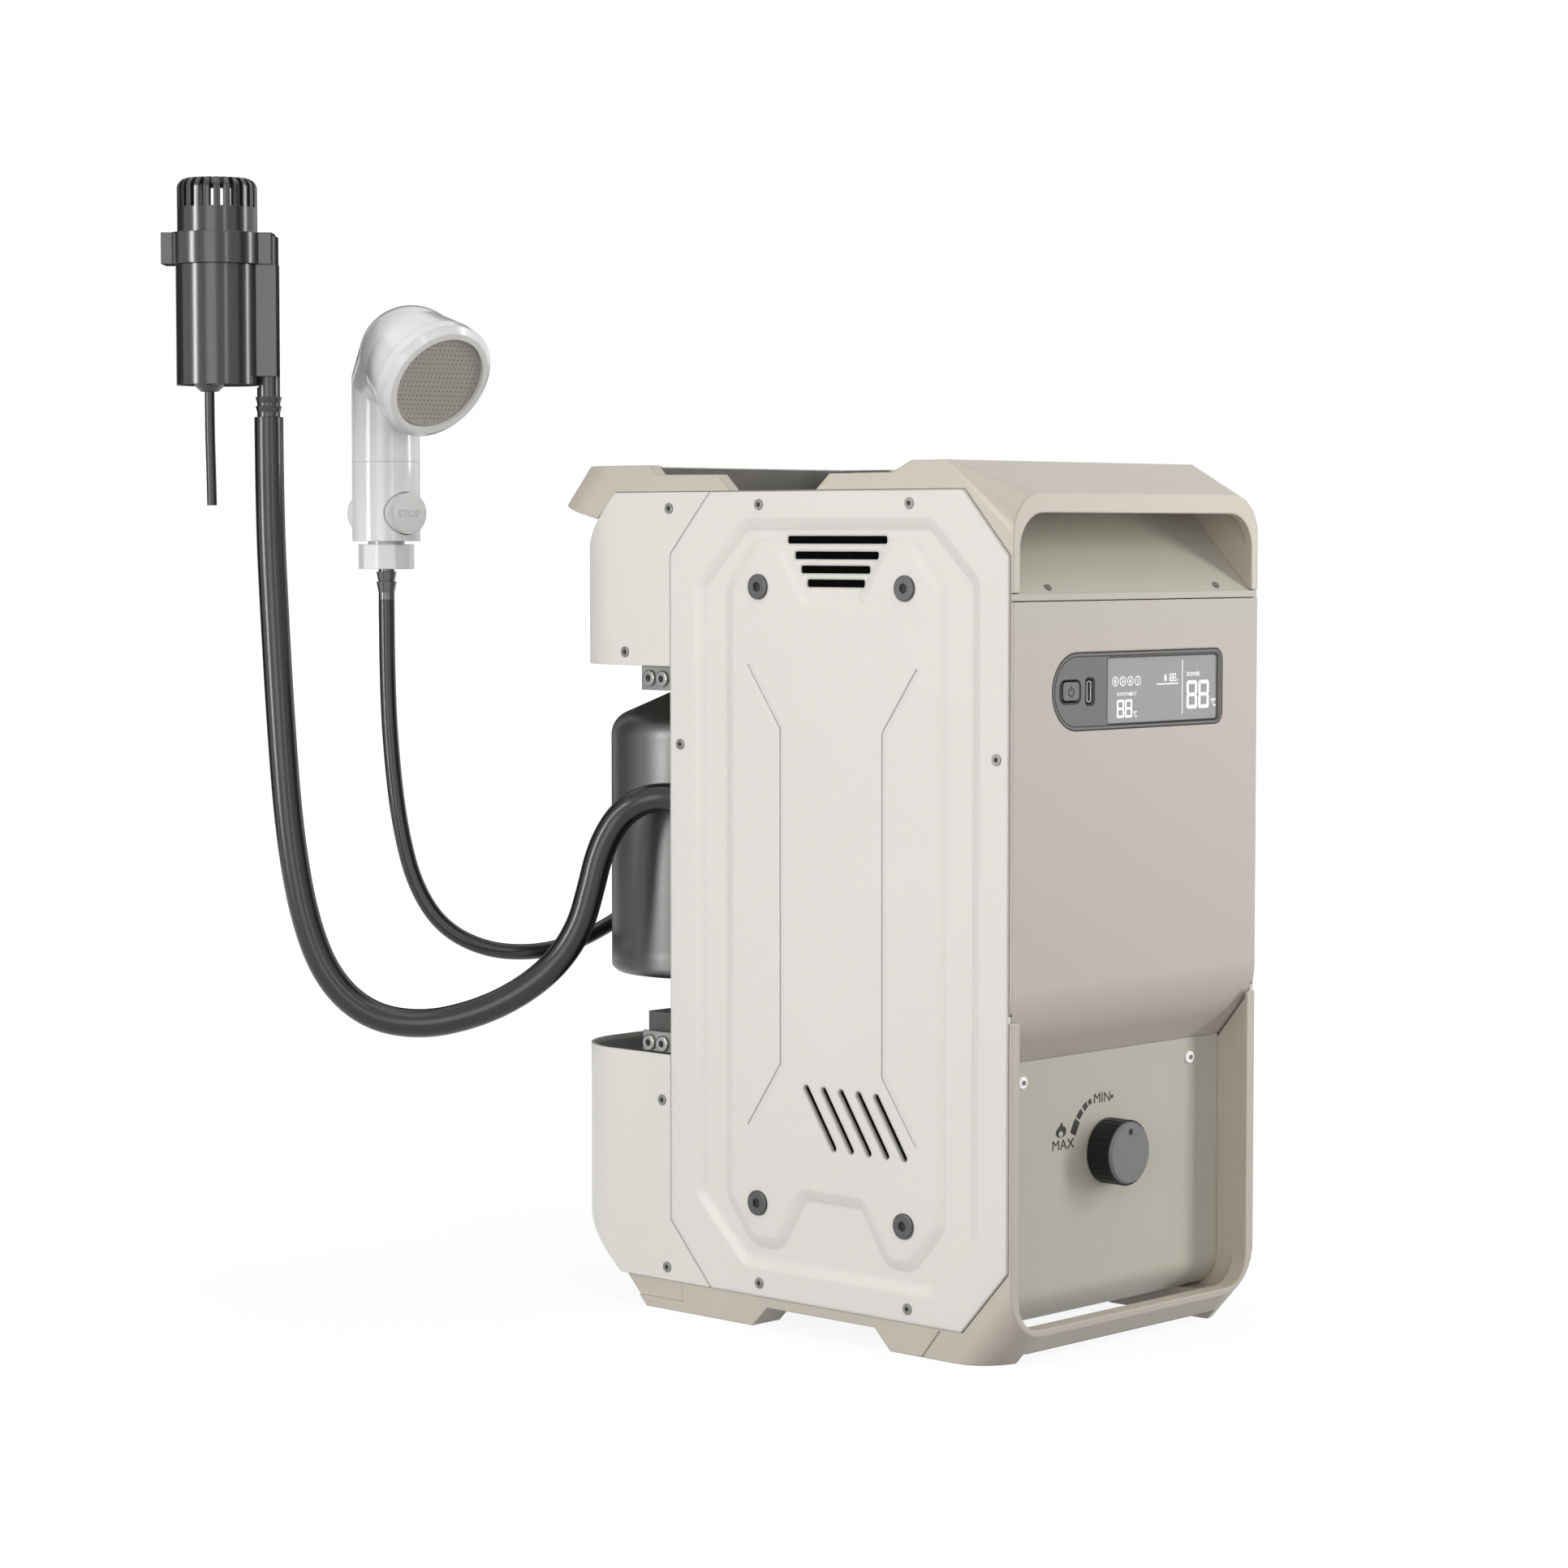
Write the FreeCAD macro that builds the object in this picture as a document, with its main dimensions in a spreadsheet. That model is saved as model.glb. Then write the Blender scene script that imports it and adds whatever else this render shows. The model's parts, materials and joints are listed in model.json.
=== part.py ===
"""Portable propane water heater with a camp shower: the parametric construction model.

The document holds one spreadsheet, Sizes, and one object for each sub-part.  Millimetres,
+Z up, the front looks along -Y, and the origin is on the ground under the middle of the case.
"""
import FreeCAD
import Part
import math
import os
import re

import Sketcher
from FreeCAD import Placement, Rotation, Vector

SIZES = {
    # case
    "half_width": 89,
    "half_depth": 142,
    "skin": 1.5,
    "body_half": 88,
    "inner_half": 86.2,
    "seam_gap": 0.3,
    # side panels
    "panel_thick": 2.4,
    "panel_front": -140.3,
    "panel_rear": 66.6,
    "panel_low": 14.5,
    "panel_high": 386.5,
    "corner_run": 26.3,
    "corner_rise": 29.2,
    "emboss_depth": 1.8,
    "emboss_slope": 5,
    # rear covers and the bottle bay between them
    "cover_skin": 1.6,
    "cover_round": 36,
    "bay_low": 121.7,
    "bay_high": 305,
    "bay_wall": 48,
    # front
    "hood_low": 338.2,
    "scoop_half": 83.2,
    "hood_front_top": 385,
    "top_rim": 399.5,
    "front_low": 154,
    "recess_face": -125,
    "recess_top": 133,
    "recess_low": 13.2,
    "bar_top": 16.4,
    "tray_low": 20.5,
    # display
    "display_left": -61.5,
    "display_right": 61.8,
    "display_low": 279.9,
    "display_high": 314.8,
    # gas knob
    "knob_height": 87,
    "knob_radius": 15,
    "knob_depth": 13.7,
    "spindle_radius": 3,
    # gas bottle
    "bottle_left": -22,
    "bottle_back": 101.9,
    "bottle_radius": 51,
    "bottle_low": 154.5,
    # water connections
    "inlet_left": -75,
    "inlet_height": 241.5,
    "outlet_right": 52,
    "outlet_height": 205,
    "fitting_end": 60,
    # submersible pump
    "pump_low": 437,
    "pump_radius": 19.6,
    "collar_low": 493.4,
    "collar_high": 508.1,
    "cap_high": 533.7,
    "cap_radius": 18.7,
    "channel_reach": 28.3,
    "outlet_reach": 23.6,
    "outlet_low": 422,
    # shower handset
    "handle_radius": 16.4,
    "handle_low": 363.5,
    "handle_high": 402,
    "elbow_height": 441,
    "head_radius": 25.5,
    "head_height": 451.6,
    "head_reach": 21.9,
    "rim_radius": 30,
    "tail_low": 335,
    # hoses
    "pump_hose_diameter": 13.6,
    "shower_hose_diameter": 7.8,
    "pump_lead_diameter": 4.6,
    # fasteners
    "small_head": 5.1,
    "small_hole": 1.7,
    "bolt_head": 11.7,
    "bolt_hole": 3.2,
}

doc = FreeCAD.newDocument("water_heater")
sheet = doc.addObject("Spreadsheet::Sheet", "Sizes")
for row, (alias, number) in enumerate(SIZES.items(), start=1):
    sheet.set(f"A{row}", alias)
    sheet.set(f"B{row}", str(number))
    sheet.setAlias(f"B{row}", alias)
doc.recompute()

ALONG_X = Rotation(Vector(0, 0, 1), Vector(1, 0, 0))
ALONG_Y = Rotation(Vector(0, 0, 1), Vector(0, 1, 0))
ALONG_Z = Rotation()
PLANES = {"XY": "XY_Plane", "XZ": "XZ_Plane", "YZ": "YZ_Plane"}
sub_parts = []


def bound(text):
    """Return an expression in which each size has the sheet's name in front of it."""
    def named(match):
        word = match.group()
        return f"Sizes.{word}" if word in SIZES else word
    return re.sub(r"[a-z_][a-z_0-9]*", named, str(text))


def value(text):
    """Return the number that an expression of sizes comes to."""
    if isinstance(text, (int, float)):
        return float(text)
    return float(sheet.evalExpression(bound(text)))


def rounded_wire(points, radii):
    """Return line and arc edges round a closed outline, each corner with its own radius."""
    count = len(points)
    entries, leaves, arcs = [], [], []
    for index in range(count):
        corner = points[index]
        before = (points[index - 1] - corner).normalize()
        after = (points[(index + 1) % count] - corner).normalize()
        radius = radii.get(index, 0)
        if radius <= 0:
            entries.append(corner)
            leaves.append(corner)
            arcs.append(None)
            continue
        half = before.getAngle(after) / 2
        reach = radius / math.tan(half)
        middle = corner + (before + after).normalize() * (radius / math.sin(half) - radius)
        entries.append(corner + before * reach)
        leaves.append(corner + after * reach)
        arcs.append(middle)
    edges = []
    for index in range(count):
        following = (index + 1) % count
        if arcs[index] is not None:
            edges.append(Part.Arc(entries[index], arcs[index], leaves[index]))
        if (entries[following] - leaves[index]).Length > 1e-6:
            edges.append(Part.LineSegment(leaves[index], entries[following]))
    return edges


class Piece:
    """One sub-part: a PartDesign body whose features are sized from the sheet."""

    def __init__(self, label, placement=None):
        self.body = doc.addObject("PartDesign::Body", label)
        self.body.Label = label
        self.body.AllowCompound = True
        if placement is not None:
            self.body.Placement = placement
        self.count = 0
        sub_parts.append(self.body)

    def feature(self, kind, name):
        """Add a feature of one kind to the body."""
        self.count += 1
        return self.body.newObject(kind, f"{self.body.Name}_{name}{self.count}")

    def settle(self, feature, cut):
        """Recompute, and make sure that a cut has removed something."""
        before = self.body.Shape.Volume if self.body.Shape and not self.body.Shape.isNull() else 0
        doc.recompute()
        change = self.body.Shape.Volume - before
        if "Invalid" in feature.State or (cut and change > -1e-4):
            raise RuntimeError(f"{self.body.Label}: {feature.Name} failed ({change:.3f})")
        return self

    def sketch(self, plane, start, outline, rounds=None):
        """Draw a closed outline on one of the body's planes, moved along that plane's normal."""
        drawing = self.feature("Sketcher::SketchObject", "outline")
        role = PLANES[plane]
        support = [item for item in self.body.Origin.OriginFeatures if item.Role == role][0]
        drawing.AttachmentSupport = [(support, "")]
        drawing.MapMode = "FlatFace"
        drawing.setExpression(".AttachmentOffset.Base.z", bound(start))
        corners = [Vector(value(across), value(up), 0) for across, up in outline]
        count = len(corners)
        if rounds:
            radii = {index: value(radius) for index, radius in rounds.items()}
            for edge in rounded_wire(corners, radii):
                index = drawing.addGeometry(edge, False)
                drawing.addConstraint(Sketcher.Constraint("Block", index))
            return drawing
        for index in range(count):
            following = corners[(index + 1) % count]
            drawing.addGeometry(Part.LineSegment(corners[index], following), False)
        for index, (across, up) in enumerate(outline):
            drawing.addConstraint(Sketcher.Constraint("Coincident", index, 2, (index + 1) % count, 1))
            for kind, text, number in (("DistanceX", across, corners[index].x),
                                       ("DistanceY", up, corners[index].y)):
                held = drawing.addConstraint(Sketcher.Constraint(kind, index, 1, number))
                if isinstance(text, str):
                    drawing.setExpression(f"Constraints[{held}]", bound(text))
        return drawing

    def prism(self, plane, start, depth, outline, rounds=None, cut=False, taper=0):
        """Pad or pocket an outline along its plane's normal."""
        drawing = self.sketch(plane, start, outline, rounds)
        kind = "PartDesign::Pocket" if cut else "PartDesign::Pad"
        feature = self.feature(kind, "pocket" if cut else "pad")
        feature.Profile = drawing
        feature.Reversed = cut
        feature.setExpression("Length", bound(depth))
        feature.TaperAngle = taper
        return self.settle(feature, cut)

    def loft(self, plane, first, last, cut=False):
        """Join two outlines, each given as (start, outline, rounds), by straight faces."""
        sections = [self.sketch(plane, *first), self.sketch(plane, *last)]
        feature = self.feature("PartDesign::SubtractiveLoft" if cut else "PartDesign::AdditiveLoft", "loft")
        feature.Profile = sections[0]
        feature.Sections = [(sections[1], [""])]
        feature.Ruled = True
        return self.settle(feature, cut)

    def place(self, feature, base, turn):
        """Put a primitive at a point given in expressions."""
        feature.Placement = Placement(Vector(*[value(item) for item in base]), turn)
        for axis, item in zip("xyz", base):
            if isinstance(item, str):
                feature.setExpression(f".Placement.Base.{axis}", bound(item))

    def block(self, low, high, cut=False, turn=ALONG_Z):
        """Add or cut a box between two corners."""
        kind = "Subtractive" if cut else "Additive"
        feature = self.feature(f"PartDesign::{kind}Box", "block")
        for name, start, end in zip(("Length", "Width", "Height"), low, high):
            feature.setExpression(name, bound(f"({end}) - ({start})"))
        self.place(feature, low, turn)
        return self.settle(feature, cut)

    def rod(self, base, turn, radius, length, cut=False):
        """Add or cut a cylinder."""
        kind = "Subtractive" if cut else "Additive"
        feature = self.feature(f"PartDesign::{kind}Cylinder", "rod")
        feature.setExpression("Radius", bound(radius))
        feature.setExpression("Height", bound(length))
        self.place(feature, base, turn)
        return self.settle(feature, cut)

    def cone(self, base, turn, radius, end_radius, length, cut=False):
        """Add or cut a truncated cone."""
        kind = "Subtractive" if cut else "Additive"
        feature = self.feature(f"PartDesign::{kind}Cone", "cone")
        feature.setExpression("Radius1", bound(radius))
        feature.setExpression("Radius2", bound(end_radius))
        feature.setExpression("Height", bound(length))
        self.place(feature, base, turn)
        return self.settle(feature, cut)

    def ball(self, centre, radius, cut=False):
        """Add or cut a sphere."""
        kind = "Subtractive" if cut else "Additive"
        feature = self.feature(f"PartDesign::{kind}Sphere", "ball")
        feature.setExpression("Radius", bound(radius))
        self.place(feature, centre, ALONG_Z)
        return self.settle(feature, cut)

    def soften(self, radius, wanted, bevel=False):
        """Fillet or chamfer the straight edges for which wanted(middle, direction) holds."""
        shape = self.body.Tip.Shape
        names = []
        for index, edge in enumerate(shape.Edges, start=1):
            ends = [vertex.Point for vertex in edge.Vertexes]
            if len(ends) != 2:
                continue
            direction = (ends[1] - ends[0]).normalize()
            if wanted((ends[0] + ends[1]) / 2, direction):
                names.append(f"Edge{index}")
        if not names:
            raise RuntimeError(f"{self.body.Label}: no edge to soften")
        base = self.body.Tip
        feature = self.feature("PartDesign::Chamfer" if bevel else "PartDesign::Fillet", "edge")
        feature.Base = (base, names)
        feature.setExpression("Size" if bevel else "Radius", bound(radius))
        return self.settle(feature, False)


def plain(label, shape, placement=None):
    """Keep a shape made with Part's own functions as a sub-part."""
    item = doc.addObject("Part::Feature", label)
    item.Label = label
    item.Shape = shape
    if placement is not None:
        item.Placement = placement
    sub_parts.append(item)
    return item


def cut_away(label, whole, tool):
    """Make a sub-part of one piece with another cut out of it."""
    sub_parts.remove(whole.body)
    item = doc.addObject("Part::Cut", label)
    item.Label = label
    item.Base, item.Tool = whole.body, tool.body
    doc.recompute()
    sub_parts.append(item)
    return item


def tube(label, route, diameter, bend=None):
    """A round tube along straight runs joined by tangent arcs, as a solid; its radii are printed."""
    points = [Vector(*point) for point in route]
    edges, radii = [], []
    start, length = points[0], 0.0
    for before, corner, after in zip(points, points[1:], points[2:]):
        inward, outward = corner - before, after - corner
        half = inward.getAngle(outward) / 2
        reach = 0.45 * min(inward.Length, outward.Length)
        radius = reach / math.tan(half)
        if bend is not None and radius > bend:
            radius = bend
            reach = radius * math.tan(half)
        inward.normalize()
        outward.normalize()
        entry, leave = corner - inward * reach, corner + outward * reach
        centre_way = (outward - inward).normalize()
        middle = corner + centre_way * (radius / math.cos(half) - radius)
        edges += [Part.LineSegment(start, entry), Part.Arc(entry, middle, leave)]
        length += (entry - start).Length + radius * 2 * half
        radii.append(radius)
        start = leave
    edges.append(Part.LineSegment(start, points[-1]))
    length += (points[-1] - start).Length
    path = Part.Wire([edge.toShape() for edge in edges])
    ring = Part.Wire([Part.makeCircle(diameter / 2, points[0], points[1] - points[0])])
    solid = path.makePipeShell([ring], True, False)
    section = math.pi * diameter ** 2 / 4
    print(f"{label}: length {length:.1f}, smallest radius {min(radii):.1f}, "
          f"volume over section x length {solid.Volume / (section * length):.4f}")
    return plain(label, solid)


# ---------------------------------------------------------------- outlines on the case sides

def octagon(grow="0"):
    """The side panel's outline in (y, z), grown outwards by a gap."""
    front, rear = f"panel_front - ({grow})", f"panel_rear + ({grow})"
    low, high = f"panel_low - ({grow})", f"panel_high + ({grow})"
    return [(front, f"{low} + corner_rise"), (f"{front} + corner_run", low),
            (f"{rear} - corner_run", low), (rear, f"{low} + corner_rise"),
            (rear, f"{high} - corner_rise"), (f"{rear} - corner_run", high),
            (f"{front} + corner_run", high), (front, f"{high} - corner_rise")]


def bar_outline(start, end, width):
    """A straight bar of one width between two points, as four corners."""
    first, last = Vector(*start, 0), Vector(*end, 0)
    along = (last - first).normalize()
    across = Vector(-along.y, along.x, 0) * (width / 2)
    corners = (first - across, last - across, last + across, first + across)
    return [(corner.x, corner.y) for corner in corners]


def bar_rounds(width):
    """Fully rounded ends for a bar outline."""
    return {index: width / 2 - 0.01 for index in range(4)}


# Screws in the sides as (y, z): the panels', then the rear covers'.
PANEL_SCREWS = [(9.1, 380.4), (-82.8, 380.5), (59.9, 268.8), (-133.7, 268.8), (8.9, 20.7), (-82.6, 20.8)]
COVER_SCREWS = [(67.1, 378.9), (96.6, 311.3), (72.3, 100), (69.2, 20.6)]
BOLTS = [(9.4, 342.8), (-80.3, 342.8), (9.7, 58.1), (-80.4, 57.9)]
BRACKET_SCREWS = [(82.4, 299.2), (73.9, 299), (82.9, 126.2), (74.1, 126.2)]
SIDES = (-1, 1)
SCOOP_WAY = Rotation(Vector(0, 0, 1), Vector(0, -0.7227, 0.6911))
FORWARD = Rotation(Vector(0, 0, 1), Vector(0, -1, 0))


def side_holes(piece, positions, radius, inner, outer="half_width + 2"):
    """Drill the same holes through both sides of a piece, between two distances from the middle."""
    for across, up in positions:
        piece.rod((f"-({outer})", across, up), ALONG_X, radius, f"({outer}) - ({inner})", cut=True)
        piece.rod((inner, across, up), ALONG_X, radius, f"({outer}) - ({inner})", cut=True)


# ---------------------------------------------------------------- casing

# The pressed channel runs between these two outlines (y, z).
CHANNEL_OUTER = [(20, 374), (-96, 374), (-124, 347), (-124, 56), (-97.5, 27.5), (19, 27.5), (50, 57),
                 (50, 344)]
CHANNEL_INNER = [(26, 341), (10.5, 359.5), (-2.5, 359.5), (-18.5, 333.5), (-53.5, 333.5), (-70.5, 359.5),
                 (-82.5, 359.5), (-98.5, 341), (-98.5, 60.5), (-83, 42.5), (-72, 42.5), (-56, 67.5),
                 (-16.5, 67.5), (-1.5, 42.5), (11.5, 42.5), (26, 60.5)]
# Top vents as (first y, last y, z) and the slanted louvres below.
VENTS = [(-68.2, -7.5, 364.3), (-63.1, -12, 357.3), (-58, -15.8, 350.9), (-54.8, -19.6, 344.7)]
VENT_HEIGHT = 3.5
LOUVRE_PITCH = 10.7
LOUVRE_TOP = (-19.8, 115.6)
LOUVRE_RUN = (-18.8, -28.6)
LOUVRE_WIDTH = 3.4
LOUVRES = 5
GROOVES = [[(15.6, 307), (-4.6, 278.5), (-4.8, 123.8), (15.8, 94)],
           [(-87.8, 307.1), (-67.2, 278), (-67.4, 123.5), (-87.6, 94.5)]]
GROOVE_WIDTH = 1.3
GROOVE_DEPTH = 0.5


def side_panel(label, side):
    """An eight-sided cover with a pressed channel, vents, louvres and two decorative lines."""
    panel = Piece(label)
    face = f"{side} * half_width"
    low = face if side < 0 else "half_width - panel_thick"
    panel.prism("YZ", low, "panel_thick", octagon())
    taper = math.degrees(math.atan2(value("emboss_slope"), value("emboss_depth")))
    floor = "emboss_depth"
    outer_rounds = {index: 9 for index in range(len(CHANNEL_OUTER))}
    inner_rounds = {index: 5.6 for index in range(len(CHANNEL_INNER))}
    channel = panel.sketch("YZ", face, CHANNEL_OUTER, outer_rounds)
    pocket = panel.feature("PartDesign::Pocket", "channel")
    pocket.Profile = channel
    pocket.Reversed = side < 0
    pocket.setExpression("Length", bound(floor))
    pocket.TaperAngle = -taper
    panel.settle(pocket, True)
    field = panel.sketch("YZ", face, CHANNEL_INNER, inner_rounds)
    pad = panel.feature("PartDesign::Pad", "field")
    pad.Profile = field
    pad.Reversed = side > 0
    pad.setExpression("Length", bound(floor))
    pad.TaperAngle = taper
    panel.settle(pad, False)
    through = "panel_thick + 2"
    start = f"{low} - 1"
    for first, last, height in VENTS:
        outline = [(first, height - VENT_HEIGHT / 2), (last, height - VENT_HEIGHT / 2),
                   (last, height + VENT_HEIGHT / 2), (first, height + VENT_HEIGHT / 2)]
        panel.prism("YZ", start, through, outline, {index: 1 for index in range(4)}, cut=True)
    for number in range(LOUVRES):
        top = (LOUVRE_TOP[0] - number * LOUVRE_PITCH, LOUVRE_TOP[1])
        foot = (top[0] + LOUVRE_RUN[0], top[1] + LOUVRE_RUN[1])
        panel.prism("YZ", start, through, bar_outline(top, foot, LOUVRE_WIDTH), bar_rounds(LOUVRE_WIDTH),
                    cut=True)
    groove_start = f"{face} - 1" if side < 0 else f"{face} - {GROOVE_DEPTH}"
    for line in GROOVES:
        for first, last in zip(line, line[1:]):
            panel.prism("YZ", groove_start, 1 + GROOVE_DEPTH, bar_outline(first, last, GROOVE_WIDTH),
                        bar_rounds(GROOVE_WIDTH), cut=True)
    for positions, radius in ((PANEL_SCREWS, "small_hole"), (BOLTS, "bolt_hole")):
        for across, up in positions:
            panel.rod((start, across, up), ALONG_X, radius, through, cut=True)
    return panel


# Side outlines of the two rear covers, and of the corner that each leaves free at the back.
UPPER_COVER = {"low": "bay_high", "high": "panel_high",
               "corner": [(103, 387.5), (103, 386.5), (142, 349.5), (143, 349.5), (143, 387.5)]}
LOWER_COVER = {"low": "panel_low", "high": "bay_low",
               "corner": [(100.5, 13.5), (143, 13.5), (143, 50), (142, 50), (100.5, 14.5)]}


def rear_cover(label, shape):
    """A U-shaped cover round the back, whose front edge follows the side panels' corners."""
    cover = Piece(label)
    front = "panel_rear - corner_run"
    inner, back = "half_width - cover_skin", "half_depth - cover_skin"
    outline = [("-half_width", front), ("-half_width", "half_depth"), ("half_width", "half_depth"),
               ("half_width", front), (inner, front), (inner, back), (f"-({inner})", back),
               (f"-({inner})", front)]
    inner_round = "cover_round - cover_skin"
    rounds = {1: "cover_round", 2: "cover_round", 5: inner_round, 6: inner_round}
    cover.prism("XY", shape["low"], f"{shape['high']} - {shape['low']}", outline, rounds)
    cover.prism("YZ", "-half_width - 1", "2 * half_width + 2", octagon("seam_gap"), cut=True)
    cover.prism("YZ", "-half_width - 1", "2 * half_width + 2", shape["corner"], cut=True)
    low, high = value(shape["low"]), value(shape["high"])
    held = [screw for screw in COVER_SCREWS if low < screw[1] < high]
    side_holes(cover, held, "small_hole", "half_width - 4")
    return cover


def clear_of_panels(piece):
    """Cut a piece back where the side panels lie over it."""
    for low in ("-half_width - 1", "inner_half"):
        piece.prism("YZ", low, "half_width + 1 - inner_half", octagon("seam_gap"), cut=True)


def corner_outside(side, height, radius):
    """The outline (x, z) outside a rounded upper corner of the casting; corner 4 is the rounded one."""
    edge, far = value("body_half"), value("body_half") + 2
    near, low = edge - radius - 1, height - radius - 1
    return [(side * near, height + 2), (side * far, height + 2), (side * far, low), (side * edge, low),
            (side * edge, height), (side * near, height)]


def top_frame():
    """The top casting: hood arch in front, open exhaust well, and a carrying lip at the back."""
    frame = Piece("top_casting")
    profile = [(-142, "hood_low"), (-142, "hood_front_top"), (-104, "top_rim"), (-83, "top_rim"),
               (-72, 394.4), (-34, 394.2), (-25.6, 387), (28.8, 387), (36.6, 394.4), (76.6, 394.7),
               (81, 399.2), (170, 399.2), (170, 386.8), (114.2, 373.6), (122, 366.8), (139.9, 349.8),
               (139.9, 344), (122, 352), (-98, 352), (-98, "hood_low")]
    frame.prism("YZ", "-body_half", "2 * body_half", profile)
    for side in SIDES:
        sections = [(distance, corner_outside(side, height, radius), {4: radius})
                    for distance, height, radius in ((142.5, 384.8, 19), (104, 399.5, 0.6))]
        frame.loft("XZ", *sections, cut=True)
    lip_round, far = 36, 100
    sections = []
    for height in (340, 410):
        lip_back = 142 + (399.2 - height) * 14 / 15.7
        behind = [(-far, 60), ("-body_half", 60), ("-body_half", lip_back), ("body_half", lip_back),
                  ("body_half", 60), (far, 60), (far, 240), (-far, 240)]
        sections.append((height, behind, {2: lip_round, 3: lip_round}))
    frame.loft("XY", *sections, cut=True)
    frame.block((-81.5, -63.5, 345), (81.5, 110.5, 420), cut=True)
    frame.block((-85, -78, 345), (85, 110.5, 384), cut=True)
    for start, depth, top, radius in ((137.5, 6, 376.2, 16), (80, 58, 378, 0.8)):
        frame.prism("XZ", start, depth, [(-83.5, 330), (83.5, 330), (83.5, top), (-83.5, top)],
                    {2: radius, 3: radius}, cut=True)
    for low in (-89, 83):
        frame.block((low, -143, 337), (low + 6, -137.5, 341.3), cut=True)
    clear_of_panels(frame)
    for low in (-87, 84):
        frame.block((low, -74, 350), (low + 3, -2, 368.6), cut=True)
    start, high = "panel_rear - corner_run - 1", "panel_high + seam_gap"
    cover_side = [(start, 300), (start, high), (103.3, high), (142.4, 349.7), (142.4, 300)]
    for low in ("-half_width - 1", "inner_half"):
        frame.prism("YZ", low, "half_width + 1 - inner_half", cover_side, cut=True)
    side_holes(frame, PANEL_SCREWS[:2] + COVER_SCREWS[:1], "small_hole", 84)
    wrap = Piece("cover_space")
    sub_parts.remove(wrap.body)
    inner, back, corner = "half_width - cover_skin - 0.4", 140.1, 34
    outside = [(-far, 60), (f"-({inner})", 60), (f"-({inner})", back), (inner, back), (inner, 60), (far, 60),
               (far, 170), (-far, 170)]
    wrap.prism("XY", 300, 90, outside, {2: corner, 3: corner})
    above = [(50, 400), (50, high), (103.3, high), (142.4, 349.7), (175, 318.7), (175, 400)]
    wrap.prism("YZ", -101, 202, above, cut=True)
    cut_away("top_frame", frame, wrap)


def hood_scoop():
    """The sloped plate inside the hood and the lip below its mouth."""
    scoop = Piece("hood_scoop")
    profile = [(-141.6, 337.8), (-141.6, 340.3), (-140.9, 341), (-105.9, 377.6), (-103.7, 377.6),
               (-137.6, 342.15), (-137.6, 337.8)]
    scoop.prism("YZ", "-scoop_half", "2 * scoop_half", profile)
    scoop.block(("-body_half", -141.6, 337.8), ("body_half", -137.8, 340.9))
    clear_of_panels(scoop)
    for side in SIDES:
        scoop.rod((60.5 * side, -135.1, 339.85), SCOOP_WAY, 0.9, 8, cut=True)
    return scoop


def front_panel():
    """The upper front: a flat face that rolls under above the knob recess."""
    panel = Piece("front_panel")
    profile = [(-142, 337.4), (-142, "front_low"), (-124.6, "recess_top"), (-123.1, "recess_top"),
               (-140.5, "front_low + 0.5"), (-140.5, 335.9), (-126, 335.9), (-126, 337.4)]
    panel.prism("YZ", "-body_half", "2 * body_half", profile, {1: 36, 4: 34.5})
    clear_of_panels(panel)
    for low, high in (("-inner_half", -84.6), (84.6, "inner_half")):
        panel.block((low, -140.6, 176), (high, -112, 335.95))
    panel.prism("XZ", 139, 5, [("display_left", "display_low"), ("display_right", "display_low"),
                               ("display_right", "display_high"), ("display_left", "display_high")],
                {0: 17.4, 1: 5.5, 2: 5.5, 3: 17.4}, cut=True)
    side_holes(panel, PANEL_SCREWS[3:4], "small_hole", 83)
    return panel


def recess_panel():
    """The set-back control plate, whose foot curls under into the floor."""
    panel = Piece("recess_panel")
    panel.prism("YZ", -82.3, 164.6,
                [("recess_face", "recess_top"), ("recess_face", "recess_low"), (-100, "recess_low"),
                 (-100, "recess_low + skin"), ("recess_face + skin", "recess_low + skin"),
                 ("recess_face + skin", "recess_top")], {1: 15, 4: 13.5})
    panel.rod((0, -130, "knob_height"), ALONG_Y, "spindle_radius + 0.6", 10, cut=True)
    for side in SIDES:
        panel.rod((60.5 * side, -130, 123.9), ALONG_Y, 0.7, 10, cut=True)
    return panel


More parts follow.
